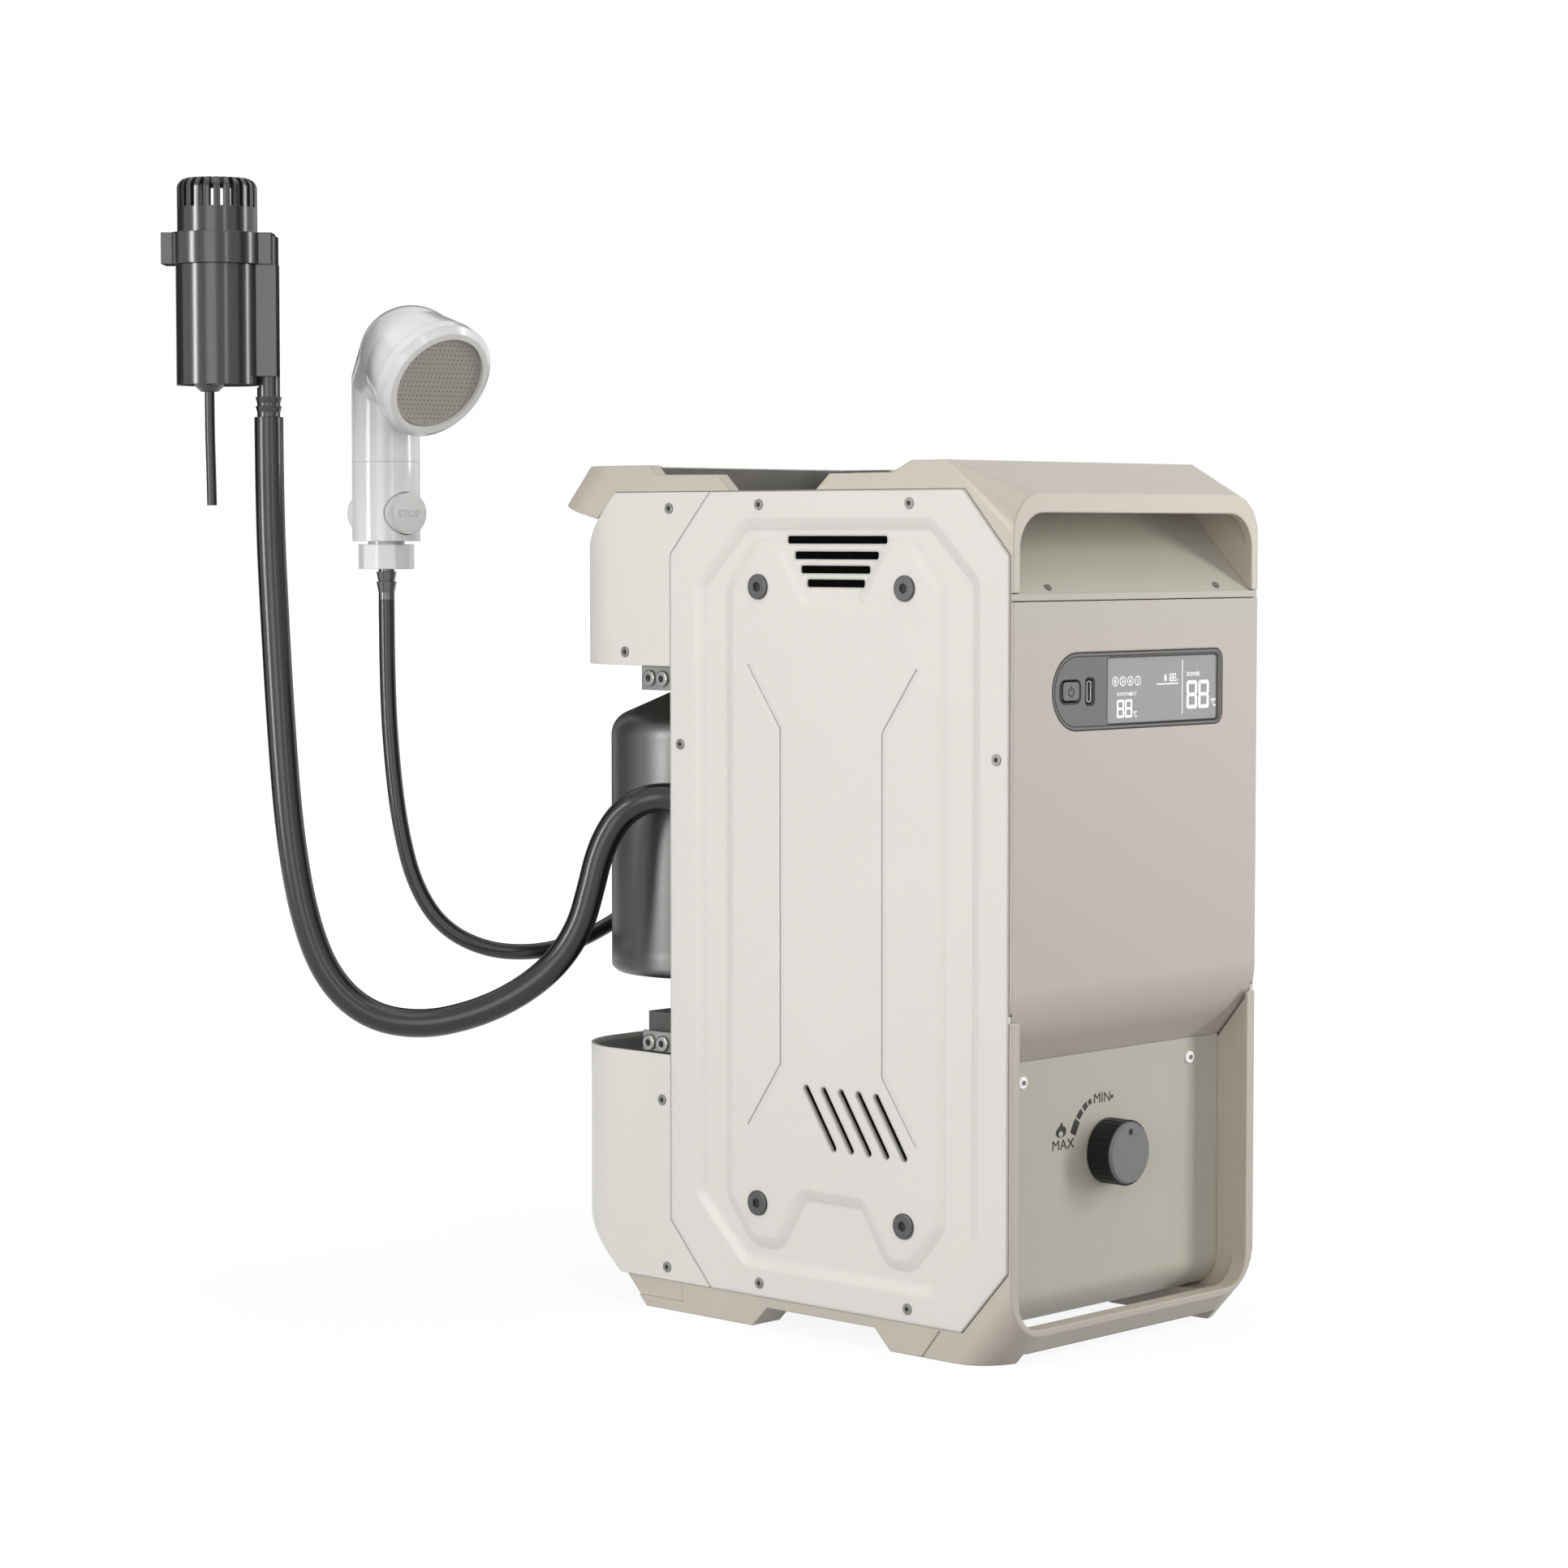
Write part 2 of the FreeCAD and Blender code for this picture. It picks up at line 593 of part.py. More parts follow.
def base_frame():
    """The bottom casting: side walls, four feet, the floor and the bar across the front."""
    base = Piece("base_frame")
    front, rear, wall = 142, 108, 82.5
    drop = (rear - front) * 13.3 / 12
    sections = [(distance, [("-body_half", 154), ("-body_half", low), ("body_half", low), ("body_half", 154)],
                 {1: 22, 2: 22}) for distance, low in ((front, 13.3), (rear, 13.3 + drop))]
    base.loft("XZ", *sections)
    base.prism("YZ", "-body_half", "2 * body_half",
               [(-rear, -30), (84, -30), (84, 0), (98, 14.1), (98, 50), (-rear, 50)])
    base.block((-100, -150, -60), (100, 150, 0), cut=True)
    base.prism("XZ", 133.9, 10, [(-wall, "bar_top"), (wall, "bar_top"), (wall, 160), (-wall, 160)],
               {0: 14, 1: 14}, cut=True)
    base.block((-wall, -134, "recess_low"), (wall, -99.8, 160), cut=True)
    base.block((-69.5, -134, -1), (69.5, -99.8, "recess_low + 1"), cut=True)
    base.block((-wall, -100, "tray_low + skin"), (wall, 99, 51), cut=True)
    base.block((-69.5, -100, -1), (69.5, 99, "tray_low"), cut=True)
    base.block((-wall, -99.8, "recess_low"), (wall, -98.3, "tray_low + skin"))
    arch = [(-71.5, -1), (-71.5, 0), (-62, 9.5), (5, 9.5), (14.4, 0), (14.4, -1)]
    base.prism("YZ", -100, 200, arch, cut=True)
    under_front = [(-140.6, 160), (-140.6, 151), (-124.9, 131.6), (-107, 131.6), (-107, 160)]
    base.prism("YZ", -100, 200, under_front, cut=True)
    clear_of_panels(base)
    start, low_edge = "panel_rear - corner_run - 1", "panel_low - seam_gap"
    cover_side = [(start, low_edge), (99, low_edge), (99, 61), (start, 61)]
    for low in ("-half_width - 1", "inner_half"):
        base.prism("YZ", low, "half_width + 1 - inner_half", cover_side, cut=True)
    base.prism("YZ", "-inner_half", "2 * inner_half",
               [(97, "tray_low"), (107, "tray_low"), (139.9, 50.5), (139.9, 52.5),
                (106, "tray_low + skin"), (97, "tray_low + skin")])
    far, inner = 100, "half_width - cover_skin - 0.4"
    outside = [(-far, 60), (f"-({inner})", 60), (f"-({inner})", 140.1), (inner, 140.1), (inner, 60),
               (far, 60), (far, 170), (-far, 170)]
    base.prism("XY", 5, 60, outside, {2: 34, 3: 34}, cut=True)
    for seam in (-89, 87.4):
        base.prism("YZ", seam, 1.6, bar_outline((-101, 13.2), (-90, -0.5), 0.7), cut=True)
    side_holes(base, PANEL_SCREWS[4:] + COVER_SCREWS[3:], "small_hole", 80)
    return base


def chassis():
    """The inner frame: side plates, the wall in front of the bottle bay, its floor and ceiling."""
    frame = Piece("chassis")
    frame.block((-85.1, "bay_wall", 55), (85.1, "bay_wall + skin", 350))
    frame.block((-82, "bay_wall", "tray_low + 2"), (82, "bay_wall + skin", 56))
    for low in (-82, 80.5):
        frame.block((low, -95, "tray_low + 2"), (low + 1.5, "bay_wall + skin", 350))
    for height, deep in ((118, 139.8), (334, 126)):
        near = "bay_wall + 1"
        frame.prism("XY", height, "skin", [(-85.1, near), (85.1, near), (85.1, deep), (-85.1, deep)],
                    {2: 32, 3: 32})
    for low in (-85.1, 83.6):
        frame.block((low, "bay_wall + 0.5", 96), (low + 1.5, 66, 350))
        frame.block((low, 60, 96), (low + 1.5, 84, 119.5))
        frame.block((low, 60, 306), (low + 1.5, 102, 335.5))
    side_holes(frame, BOLTS, "bolt_hole", 78, "half_width - 4")
    side_holes(frame, PANEL_SCREWS[2:3] + COVER_SCREWS[1:3], "small_hole", 82.6, "half_width - 2.5")
    for left, height in (("inlet_left", "inlet_height"), ("outlet_right", "outlet_height")):
        frame.rod((left, 40, height), ALONG_Y, 6.1, 20, cut=True)
    frame.rod((74, 40, 322), ALONG_Y, 4.1, 20, cut=True)
    return frame


def bracket(label, low, high, rear):
    """Two plates on the bay's sides, each held by two screws."""
    piece = Piece(label)
    for start in (-86.5, 85.1):
        piece.block((start, 54, low), (start + 1.4, rear, high))
    held = [screw for screw in BRACKET_SCREWS if low < screw[1] < high]
    side_holes(piece, held, 1.3, 84)
    return piece


def exhaust():
    """The open well in the top, its grille, and the hood that brings the flue gas to it."""
    well = Piece("exhaust_well")
    well.block((-81.2, -63.2, 358), (81.2, 110.2, 398.7))
    well.block((-80, -62, 359.2), (80, 109, 420), cut=True)
    well.block((-46, -54, 350), (46, 14, 370), cut=True)
    well.prism("YZ", -90, 180, [(-70, 393.9), (-34, 393.7), (-25.6, 386.5), (28.8, 386.5), (36.6, 393.9),
                                (76.6, 394.2), (81, 398.7), (120, 398.7), (120, 420), (-70, 420)], cut=True)
    grille = Piece("exhaust_grille")
    grille.block((-60, -60, 359.2), (60, 20, 360.8))
    for row in range(9):
        across = -52.5 + row * 8.2
        grille.prism("XY", 358, 4, bar_outline((-54, across), (54, across), 4.6), bar_rounds(4.6), cut=True)
    hood = Piece("flue_hood")
    wide = [(-51.8, -56.8), (51.8, -56.8), (51.8, 16.8), (-51.8, 16.8)]
    narrow = [(-45.6, -53.6), (45.6, -53.6), (45.6, 13.6), (-45.6, 13.6)]
    skin = 1.4
    shrink = {True: [(x - math.copysign(skin, x), y - math.copysign(skin, y)) for x, y in wide],
              False: [(x - math.copysign(skin, x), y - math.copysign(skin, y)) for x, y in narrow]}
    hood.loft("XY", (326, wide), (357.8, narrow))
    hood.loft("XY", (326, shrink[True]), (357.8, shrink[False]), cut=True)


def display():
    """The control strip: bezel, screen, button, charging socket and the board behind them."""
    gap = 0.2
    bezel = Piece("display_bezel")
    bezel.prism("XZ", 137, 5, [(f"display_left + {gap}", f"display_low + {gap}"),
                               (f"display_right - {gap}", f"display_low + {gap}"),
                               (f"display_right - {gap}", f"display_high - {gap}"),
                               (f"display_left + {gap}", f"display_high - {gap}")],
                {0: 17.2, 1: 5.3, 2: 5.3, 3: 17.2})
    bezel.prism("XZ", 136, 7, [(-22.7, 282.3), (58.2, 282.3), (58.2, 312), (-22.7, 312)],
                {index: 1.8 for index in range(4)}, cut=True)
    bezel.prism("XZ", 136, 7, [(-54.95, 292.75), (-42.25, 292.75), (-42.25, 302.65), (-54.95, 302.65)],
                {index: 2.5 for index in range(4)}, cut=True)
    bezel.prism("XZ", 136, 7, [(-37.9, 291.5), (-32.1, 291.5), (-32.1, 303.1), (-37.9, 303.1)],
                {index: 1.6 for index in range(4)}, cut=True)
    screen = Piece("lcd_screen")
    screen.prism("XZ", 134.5, 6.8, [(-22.5, 282.5), (58, 282.5), (58, 311.8), (-22.5, 311.8)],
                 {index: 1.6 for index in range(4)})
    button = Piece("power_button")
    button.prism("XZ", 135.9, 1, [(-56.6, 291), (-40.6, 291), (-40.6, 304.4), (-56.6, 304.4)],
                 {index: 3.5 for index in range(4)})
    button.prism("XZ", 136.8, 5.6, [(-54.1, 293.6), (-43.1, 293.6), (-43.1, 301.8), (-54.1, 301.8)],
                 {index: 1.9 for index in range(4)})
    socket = Piece("usb_socket")
    socket.prism("XZ", 134.5, 4.7, [(-37.7, 291.7), (-32.3, 291.7), (-32.3, 302.9), (-37.7, 302.9)],
                 {index: 1.4 for index in range(4)})
    socket.prism("XZ", 135, 6, [(-36.5, 292.4), (-33.5, 292.4), (-33.5, 302.1), (-36.5, 302.1)],
                 {index: 1.4 for index in range(4)}, cut=True)
    socket.block((-35.4, -138.4, 294.2), (-34.6, -134.9, 300.4))
    board = Piece("control_board")
    board.block((-62, -134.5, 272), (62, -132.9, 325))
    board.block((-12, -132.9, 292), (12, -131, 306))
    board.block((30, -132.9, 276), (52, -126, 288))
    for left in (-52, -44, -36):
        board.rod((left, -132.9, 279), ALONG_Y, 3.2, 9)
    pack = Piece("battery_pack")
    pack.block((-37, -133, 212), (37, -130.5, 254))
    for height in (222.6, 243.4):
        pack.rod((-34, -121.5, height), ALONG_X, 9.2, 68)
        for left in (-37, 34.4):
            pack.block((left, -132, height - 9.5), (left + 2.6, -113, height + 9.5))


def gas_train():
    """Knob, valve, pipes, regulator and the bottle that hangs from it in the bay."""
    turned = Placement(Vector(0, value("recess_face"), value("knob_height")), FORWARD)
    knob = Piece("gas_knob", turned)
    knob.rod((0, 0, 0.5), ALONG_Z, "knob_radius", "knob_depth - 2")
    knob.rod((0, 0, -12), ALONG_Z, "spindle_radius", 13)
    groove = knob.feature("PartDesign::SubtractiveCylinder", "flute")
    groove.Radius, groove.Height = 0.9, 20
    knob.place(groove, ("knob_radius + 0.6", 0, 2.5), ALONG_Z)
    knob.settle(groove, True)
    ring = knob.feature("PartDesign::PolarPattern", "flutes")
    ring.Originals = [groove]
    ring.Axis = ([item for item in knob.body.Origin.OriginFeatures if item.Role == "Z_Axis"][0], [""])
    ring.Angle, ring.Occurrences = 360, 30
    knob.body.Tip = ring
    knob.settle(ring, True)
    cap = Piece("knob_cap", turned)
    cap.cone((0, 0, "knob_depth - 1.5"), ALONG_Z, "knob_radius - 0.8", "knob_radius - 1.6", 1.5)
    cap.rod((0, 9.6, "knob_depth - 0.6"), ALONG_Z, 1.6, 2, cut=True)

    valve = Piece("gas_valve")
    valve.block((-20, -116, 72), (20, -92, 102))
    valve.rod((0, -119, "knob_height"), ALONG_Y, 8, 4)
    valve.rod((0, -120, "knob_height"), ALONG_Y, "spindle_radius + 0.05", 11, cut=True)
    valve.rod((19, -104, "knob_height"), ALONG_X, 5, 9)
    valve.rod((0, -104, 101), ALONG_Z, 5, 9)

    axis = ("bottle_left", "bottle_back")
    bottle = Piece("gas_bottle", Placement(Vector(value("bottle_left"), value("bottle_back"), 0), Rotation()))
    wall = 1.2
    outline = [(0, "bottle_low + 4"), (18, "bottle_low + 3"), (36, "bottle_low + 0.6"),
               (48, "bottle_low"), ("bottle_radius", "bottle_low + 2.5"), ("bottle_radius", 277.4),
               (22.7, 290), (15, 294), (12, 295.5), (12, 306), (5, 306), (5, 292), (20, 288),
               (f"bottle_radius - {wall}", 275.5), (f"bottle_radius - {wall}", "bottle_low + 8"),
               (42, "bottle_low + 2"), (18, "bottle_low + 5"), (0, "bottle_low + 6")]
    rounds = {3: 2, 4: 2.5, 5: 12, 13: 10.8, 14: 8.8}
    drawing = bottle.sketch("XZ", 0, outline, rounds)
    spun = bottle.feature("PartDesign::Revolution", "shell")
    spun.Profile = drawing
    spun.ReferenceAxis = (drawing, ["V_Axis"])
    spun.Angle = 360
    bottle.settle(spun, False)

    regulator = Piece("gas_regulator")
    regulator.rod((*axis, 297), ALONG_Z, 17, 9.6)
    regulator.rod((*axis, 306.5), ALONG_Z, 21, 27.5)
    regulator.rod((*axis, 296), ALONG_Z, 12.05, 10.3, cut=True)
    regulator.rod(("bottle_left + 20", "bottle_back", 322), ALONG_X, 5.5, 9)
    regulator.rod(("bottle_left - 27", "bottle_back", 322), ALONG_X, 9, 10)

    reach = value("bottle_left") + 29
    back = value("bottle_back")
    tube("gas_pipe", [(reach, back, 322), (74, back, 322), (74, 40, 322), (74, 40, 87), (74, -104, 87),
                      (28, -104, 87)], 6, bend=12)
    tube("burner_supply_pipe", [(0, -104, 110), (0, -104, 196), (0, -58, 196)], 6, bend=12)


def heat_train():
    """Burner, combustion chamber, heat exchanger and the water coil round them."""
    burner = Piece("burner")
    burner.block((-46, -50, 189), (46, 10, 201))
    for row in range(7):
        left = -45 + row * 13.8
        burner.block((left, -48, 200), (left + 7.2, 8, 221))
        burner.block((left + 2.6, -44, 214), (left + 4.6, 4, 222), cut=True)
    burner.rod((0, -58, 196), ALONG_Y, 5, 9)
    chamber = Piece("combustion_chamber")
    chamber.block((-52, -57, 224), (52, 17, 292))
    chamber.block((-50.5, -55.5, 223), (50.5, 15.5, 293), cut=True)
    exchanger = Piece("heat_exchanger")
    exchanger.block((-52, -57, 292), (52, 17, 326))
    for row in range(14):
        left = -49 + row * 7.1
        exchanger.block((left, -55.5, 291), (left + 5.6, 15.5, 327), cut=True)
    exchanger.block((-64, -40, 300), (-51, -20, 318))
    exchanger.block((38, 16, 300), (56, 24, 318))
    spark = Piece("ignition_electrode")
    spark.rod((-20, -63, 196), ALONG_Z, 3, 26)
    spark.rod((-20, -63, 221), ALONG_Z, 0.9, 12)
    tube("water_coil", [(-72, 2, 241.5), (-72, -64, 241.5), (58.5, -64, 245.5), (58.5, 25, 249.5),
                        (-58.5, 25, 253.5), (-58.5, -64, 257.5), (58.5, -64, 261.5), (58.5, 25, 265.5),
                        (-58.5, 25, 269.5), (-58.5, -30, 273.5), (-58.5, -30, 300)], 8, bend=10)
    tube("outlet_pipe", [(46, 24, 309), (46, 37, 309), (52, 37, 288), (52, 37, 214)], 8, bend=6)


def fitting(label, across, up):
    """A threaded bulkhead connector whose spigot looks back into the bay."""
    piece = Piece(label)
    piece.rod((across, "bay_wall - 6", up), ALONG_Y, 6, "fitting_end - bay_wall + 6")
    piece.rod((across, "bay_wall + skin", up), ALONG_Y, 8.4, 6)
    return piece


def water_train():
    """Inlet and outlet connectors with the flow switch behind the inlet."""
    inlet = fitting("water_inlet_fitting", "inlet_left", "inlet_height")
    inlet.rod(("inlet_left", "fitting_end - 1", "inlet_height"), ALONG_Y, 6.8, 1)
    outlet = fitting("water_outlet_fitting", "outlet_right", "outlet_height")
    outlet.block((44, 29, 197), (60, "bay_wall - 5", 214))
    outlet.rod(("outlet_right", "fitting_end - 1", "outlet_height"), ALONG_Y, 5, 3)
    switch = Piece("flow_switch")
    switch.block((-79.8, 2, 232), (-66, 36, 251))
    switch.rod(("inlet_left", 35, "inlet_height"), ALONG_Y, 4.4, 7)
    switch.rod((-73, 19, 250), ALONG_Z, 5, 10)
    block = Piece("fitting_block")
    block.block((-83.2, 55, 119.5), (-60, 87, 140.7))
    block.rod((-71.6, 68, 139.7), ALONG_Z, 7, 7)


def pump():
    """The submersible pump: body, inlet strainer, motor, impeller and outlet."""
    turn = Rotation(Vector(0, 0, 1), -46.7)
    spot = Placement(Vector(-220, 236.5, 0), turn)
    body = Piece("pump_body", spot)
    body.rod((0, 0, "pump_low"), ALONG_Z, "pump_radius", "collar_low - pump_low")
    body.block((14, -6, 441), ("channel_reach", 6, "collar_low"))
    body.cone((-4.3, 0, "pump_low - 3"), ALONG_Z, 4, 7.4, 3)
    body.rod((0, 0, "pump_low + 2"), ALONG_Z, "pump_radius - 1.8", 80, cut=True)
    collar = Piece("pump_collar", spot)
    collar.rod((0, 0, "collar_low"), ALONG_Z, 21.8, "collar_high - collar_low")
    collar.block((-25.4, -8, "collar_low"), (26.4, 8, "collar_high"))
    collar.block((26, -6, "collar_low"), ("channel_reach - 0.3", 6, "collar_high - 1.5"))
    collar.rod((0, 0, "collar_low + 1.5"), ALONG_Z, "cap_radius + 0.3", 40, cut=True)
    collar.rod((0, 0, "collar_low - 1"), ALONG_Z, 9, 10, cut=True)
    cap = Piece("pump_filter_cap", spot)
    cap.rod((0, 0, "collar_low + 2"), ALONG_Z, "cap_radius", "cap_high - collar_low - 2")
    barrel = cap.body.Tip
    rim = [f"Edge{index}" for index, edge in enumerate(barrel.Shape.Edges, start=1)
           if edge.Length > 100 and edge.CenterOfMass.z > 530]
    dome = cap.feature("PartDesign::Fillet", "dome")
    dome.Base = (barrel, rim)
    dome.Radius = 5
    cap.settle(dome, False)
    cap.rod((0, 0, "collar_low + 1"), ALONG_Z, "cap_radius - 4", 36, cut=True)
    slot = cap.feature("PartDesign::SubtractiveBox", "slot")
    slot.Length, slot.Width, slot.Height = 8, 2.1, 20
    cap.place(slot, (12.5, -1.05, 520), ALONG_Z)
    cap.settle(slot, True)
    ring = cap.feature("PartDesign::PolarPattern", "slots")
    ring.Originals = [slot]
    ring.Axis = ([item for item in cap.body.Origin.OriginFeatures if item.Role == "Z_Axis"][0], [""])
    ring.Angle, ring.Occurrences = 360, 24
    cap.body.Tip = ring
    cap.settle(ring, True)
    outlet = Piece("pump_outlet", spot)
    outlet.rod(("outlet_reach", 0, "outlet_low"), ALONG_Z, 5.4, 19)
    for low in (424.2, 428.4):
        outlet.cone(("outlet_reach", 0, low), ALONG_Z, 5.4, 6.2, 3)
    outlet.rod((0, 0, "pump_low - 1"), ALONG_Z, "pump_radius + 0.1", 10, cut=True)
    motor = Piece("pump_motor", spot)
    motor.rod((0, 0, 439), ALONG_Z, "pump_radius - 2.1", 38)
    motor.rod((0, 0, 476), ALONG_Z, 1.5, 12)
    impeller = Piece("pump_impeller", spot)
    impeller.rod((0, 0, 479), ALONG_Z, 15, 2)
    impeller.rod((0, 0, 479), ALONG_Z, 4, 9)
    for number in range(6):
        blade = impeller.feature("PartDesign::AdditiveBox", "blade")
        blade.Length, blade.Width, blade.Height = 11.5, 1.4, 6.5
        around = Placement(Vector(), Rotation(Vector(0, 0, 1), 60 * number))
        blade.Placement = around * Placement(Vector(3, -0.7, 480), Rotation())
        impeller.settle(blade, False)
    impeller.rod((0, 0, 478), ALONG_Z, 1.55, 12, cut=True)


def elbow(head):
    """Turn a pear shape round the line from the top of the handle to the middle of the head."""
    small, large = value("handle_radius"), value("head_radius")
    start = Vector(0, value("elbow_height"), 0)
    end = Vector(-value("head_reach"), value("head_height"), 0)
    along = end - start
    lean = math.asin((large - small) / along.Length)
    along.normalize()
    aside = Vector(-along.y, along.x, 0)
    touch = aside * math.cos(lean) - along * math.sin(lean)
    low, high = start - along * small, end + along * large
    side = [Part.Arc(low, start + (touch - along).normalize() * small, start + touch * small),
            Part.LineSegment(start + touch * small, end + touch * large),
            Part.Arc(end + touch * large, end + (touch + along).normalize() * large, high),
            Part.LineSegment(high, low)]
    drawing = head.feature("Sketcher::SketchObject", "pear")
    plane = [item for item in head.body.Origin.OriginFeatures if item.Role == "YZ_Plane"][0]
    drawing.AttachmentSupport = [(plane, "")]
    drawing.MapMode = "FlatFace"
    for edge in side:
        drawing.addConstraint(Sketcher.Constraint("Block", drawing.addGeometry(edge, False)))
    drawing.addGeometry(Part.LineSegment(low, high), True)
    spun = head.feature("PartDesign::Revolution", "elbow")
    spun.Profile = drawing
    spun.ReferenceAxis = (drawing, ["Axis0"])
    spun.Angle = 360
    head.settle(spun, False)


def shower():
    """The shower handset: barbed tail, swivel nut, handle, push-through stop button and head."""
    spot = Placement(Vector(-126.6, 224.6, 0), Rotation(Vector(0, 0, 1), -5))
    barb = Piece("hose_barb", spot)
    barb.rod((0, 0, "tail_low"), ALONG_Z, 3.9, 18)
    barb.cone((0, 0, 338.4), ALONG_Z, 3.9, 4.9, 5.4)
    barb.cone((0, 0, 344), ALONG_Z, 4, 4.9, 4.6)
    barb.rod((0, 0, 352.4), ALONG_Z, 8.7, 2.2)
    nut = Piece("hose_nut", spot)
    sides = 10
    turns = [math.tau * side / sides for side in range(sides)]
    ring = [(13.6 * math.cos(turn), 13.6 * math.sin(turn)) for turn in turns]
    nut.prism("XY", 350, 12, ring, {index: 2.5 for index in range(sides)})
    nut.rod((0, 0, 349), ALONG_Z, 4.4, 20, cut=True)
    nut.rod((0, 0, 352.2), ALONG_Z, 9.2, 20, cut=True)
    handle = Piece("shower_handle", spot)
    handle.rod((0, 0, "handle_low"), ALONG_Z, "handle_radius", "handle_high - handle_low")
    handle.rod((0, 0, 354.8), ALONG_Z, 8.85, 9)
    handle.rod((0, 20, 377), Rotation(Vector(0, 0, 1), Vector(0, -1, 0)), 10.4, 40, cut=True)
    button = Piece("stop_button", spot)
    button.rod((0, -19.2, 377), ALONG_Y, 10.1, 37.4)
    head = Piece("shower_head", spot)
    face = Vector(0, -0.8634, -0.5045)
    ahead = Rotation(Vector(0, 0, 1), face)
    centre = Vector(0, -value("head_reach"), value("head_height"))
    head.rod((0, 0, "handle_high"), ALONG_Z, "handle_radius - 0.05", "elbow_height - handle_high")
    elbow(head)
    head.cone(tuple(centre), ahead, "head_radius", "rim_radius - 0.5", 17.1)
    hollow = centre + face * 4
    head.cone(tuple(hollow), ahead, 19, 25.2, 20, cut=True)
    ring_base = centre + face * 17.1
    head.rod(tuple(ring_base), ahead, 40, 20, cut=True)
    ring_piece = Piece("shower_ring", spot)
    ring_piece.cone(tuple(ring_base), ahead, "rim_radius - 0.4", "rim_radius", 6)
    ring_piece.cone(tuple(ring_base + face * 5.9), ahead, "rim_radius - 0.01", "rim_radius - 3", 3.1)
    ring_piece.rod(tuple(ring_base - face), ahead, 24, 12, cut=True)
    plate = Piece("spray_plate", spot)
    plate.rod(tuple(ring_base + face * 4.4), ahead, 23.7, 2.6)
    plate.rod(tuple(ring_base + face * 1), ahead, 22.4, 4)
    plate.rod(tuple(ring_base - face * 2), ahead, 22, 4)


# ---------------------------------------------------------------- fasteners

def button_head(base, turn, head, thick, shank, length, socket):
    """A low round-headed screw with a hexagonal socket, as one solid."""
    solid = Part.makeCylinder(head / 2, thick).fuse(Part.makeCylinder(shank, length, Vector(0, 0, -length)))
    rim = [edge for edge in solid.Edges if abs(edge.CenterOfMass.z - thick) < 1e-6 and edge.Length > head]
    solid = solid.makeFillet(thick * 0.45, rim)
    turns = [math.radians(60 * corner) for corner in range(7)]
    corners = [Vector(socket * math.cos(angle), socket * math.sin(angle), 0) for angle in turns]
    drive = Part.Face(Part.makePolygon(corners)).extrude(Vector(0, 0, 2 * thick))
    drive.translate(Vector(0, 0, thick * 0.35))
    solid = solid.cut(drive)
    solid.Placement = Placement(Vector(*base), turn)
    return solid


def slotted_head(base, turn, radius, thick, shank, length):
    """A low screw head with a straight slot, as one solid."""
    solid = Part.makeCylinder(radius, thick).fuse(Part.makeCylinder(shank, length, Vector(0, 0, -length)))
    slot = Part.makeBox(2.4 * radius, radius / 4, thick)
    slot.Placement = Placement(Vector(-1.2 * radius, -radius / 8, thick * 0.45), Rotation())
    solid = solid.cut(slot)
    solid.Placement = Placement(Vector(*base), turn)
    return solid


def fasteners():
    """All the screws, each kind as one group of solids."""
    outwards = {-1: Rotation(Vector(0, 0, 1), Vector(-1, 0, 0)), 1: ALONG_X}
    small, bolts, plated, front, washers = [], [], [], [], []
    half = value("half_width")
    for side in SIDES:
        for across, up in PANEL_SCREWS + COVER_SCREWS:
            small.append(button_head((side * half, across, up), outwards[side], value("small_head"), 0.6, 1.5,
                                     4.6, 1.2))
        for across, up in BOLTS:
            bolts.append(button_head((side * half, across, up), outwards[side], value("bolt_head"), 1.4, 3, 9,
                                     2.4))
        for across, up in BRACKET_SCREWS:
            plated.append(button_head((side * 86.5, across, up), outwards[side], 7.7, 1.6, 1.2, 0.6, 1.8))
        front.append(slotted_head((60.5 * side, -138.7, 343.3), SCOOP_WAY, 1.7, 0.7, 0.8, 2.4))
        washer = Part.makeCylinder(2.65, 1).cut(Part.makeCylinder(0.7, 2))
        washer.Placement = Placement(Vector(60.5 * side, value("recess_face"), 123.9), FORWARD)
        washers.append(washer)
        front.append(slotted_head((60.5 * side, value("recess_face") - 1, 123.9), FORWARD, 1.1, 0.6, 0.6, 4))
    plain("panel_screws", Part.makeCompound(small))
    plain("panel_bolts", Part.makeCompound(bolts))
    plain("bracket_screws", Part.makeCompound(plated))
    plain("front_screws", Part.makeCompound(front))
    plain("nylon_washers", Part.makeCompound(washers))


# ---------------------------------------------------------------- hoses

PUMP_HOSE = [(-75, 60, 241.5), (-75, 70, 241.5), (-79, 80, 243), (-85.5, 89, 241), (-90, 98, 234.5),
             (-94, 103, 225.5), (-97.5, 106.5, 214), (-100, 109, 199), (-103.5, 113, 180), (-111, 121, 163),
             (-123, 133, 149), (-138, 149, 138.5), (-155.5, 168, 133), (-173, 186, 137.5), (-186, 200, 155),
             (-193.5, 208.5, 184), (-198, 213.5, 225), (-200.5, 216, 274), (-202.3, 217.9, 326),
             (-203.8, 219.3, 376), (-203.8, 219.3, 422)]
SHOWER_HOSE = [(52, 62, 205), (52, 84, 205), (48, 110, 204), (36, 134, 200), (18, 153, 194), (-4, 164, 186),
               (-28, 169, 173), (-52, 171, 164.5), (-74, 177, 161), (-94, 190, 163), (-109, 205, 174),
               (-118, 215, 195), (-123, 220, 224), (-125.5, 223, 258), (-126.6, 224.6, 296),
               (-126.6, 224.6, 335)]
PUMP_LEAD = [(-222.9, 239.6, 434), (-222.9, 239.6, 416), (-222.6, 239.3, 398), (-222.4, 239, 380.5)]

# ---------------------------------------------------------------- build and write

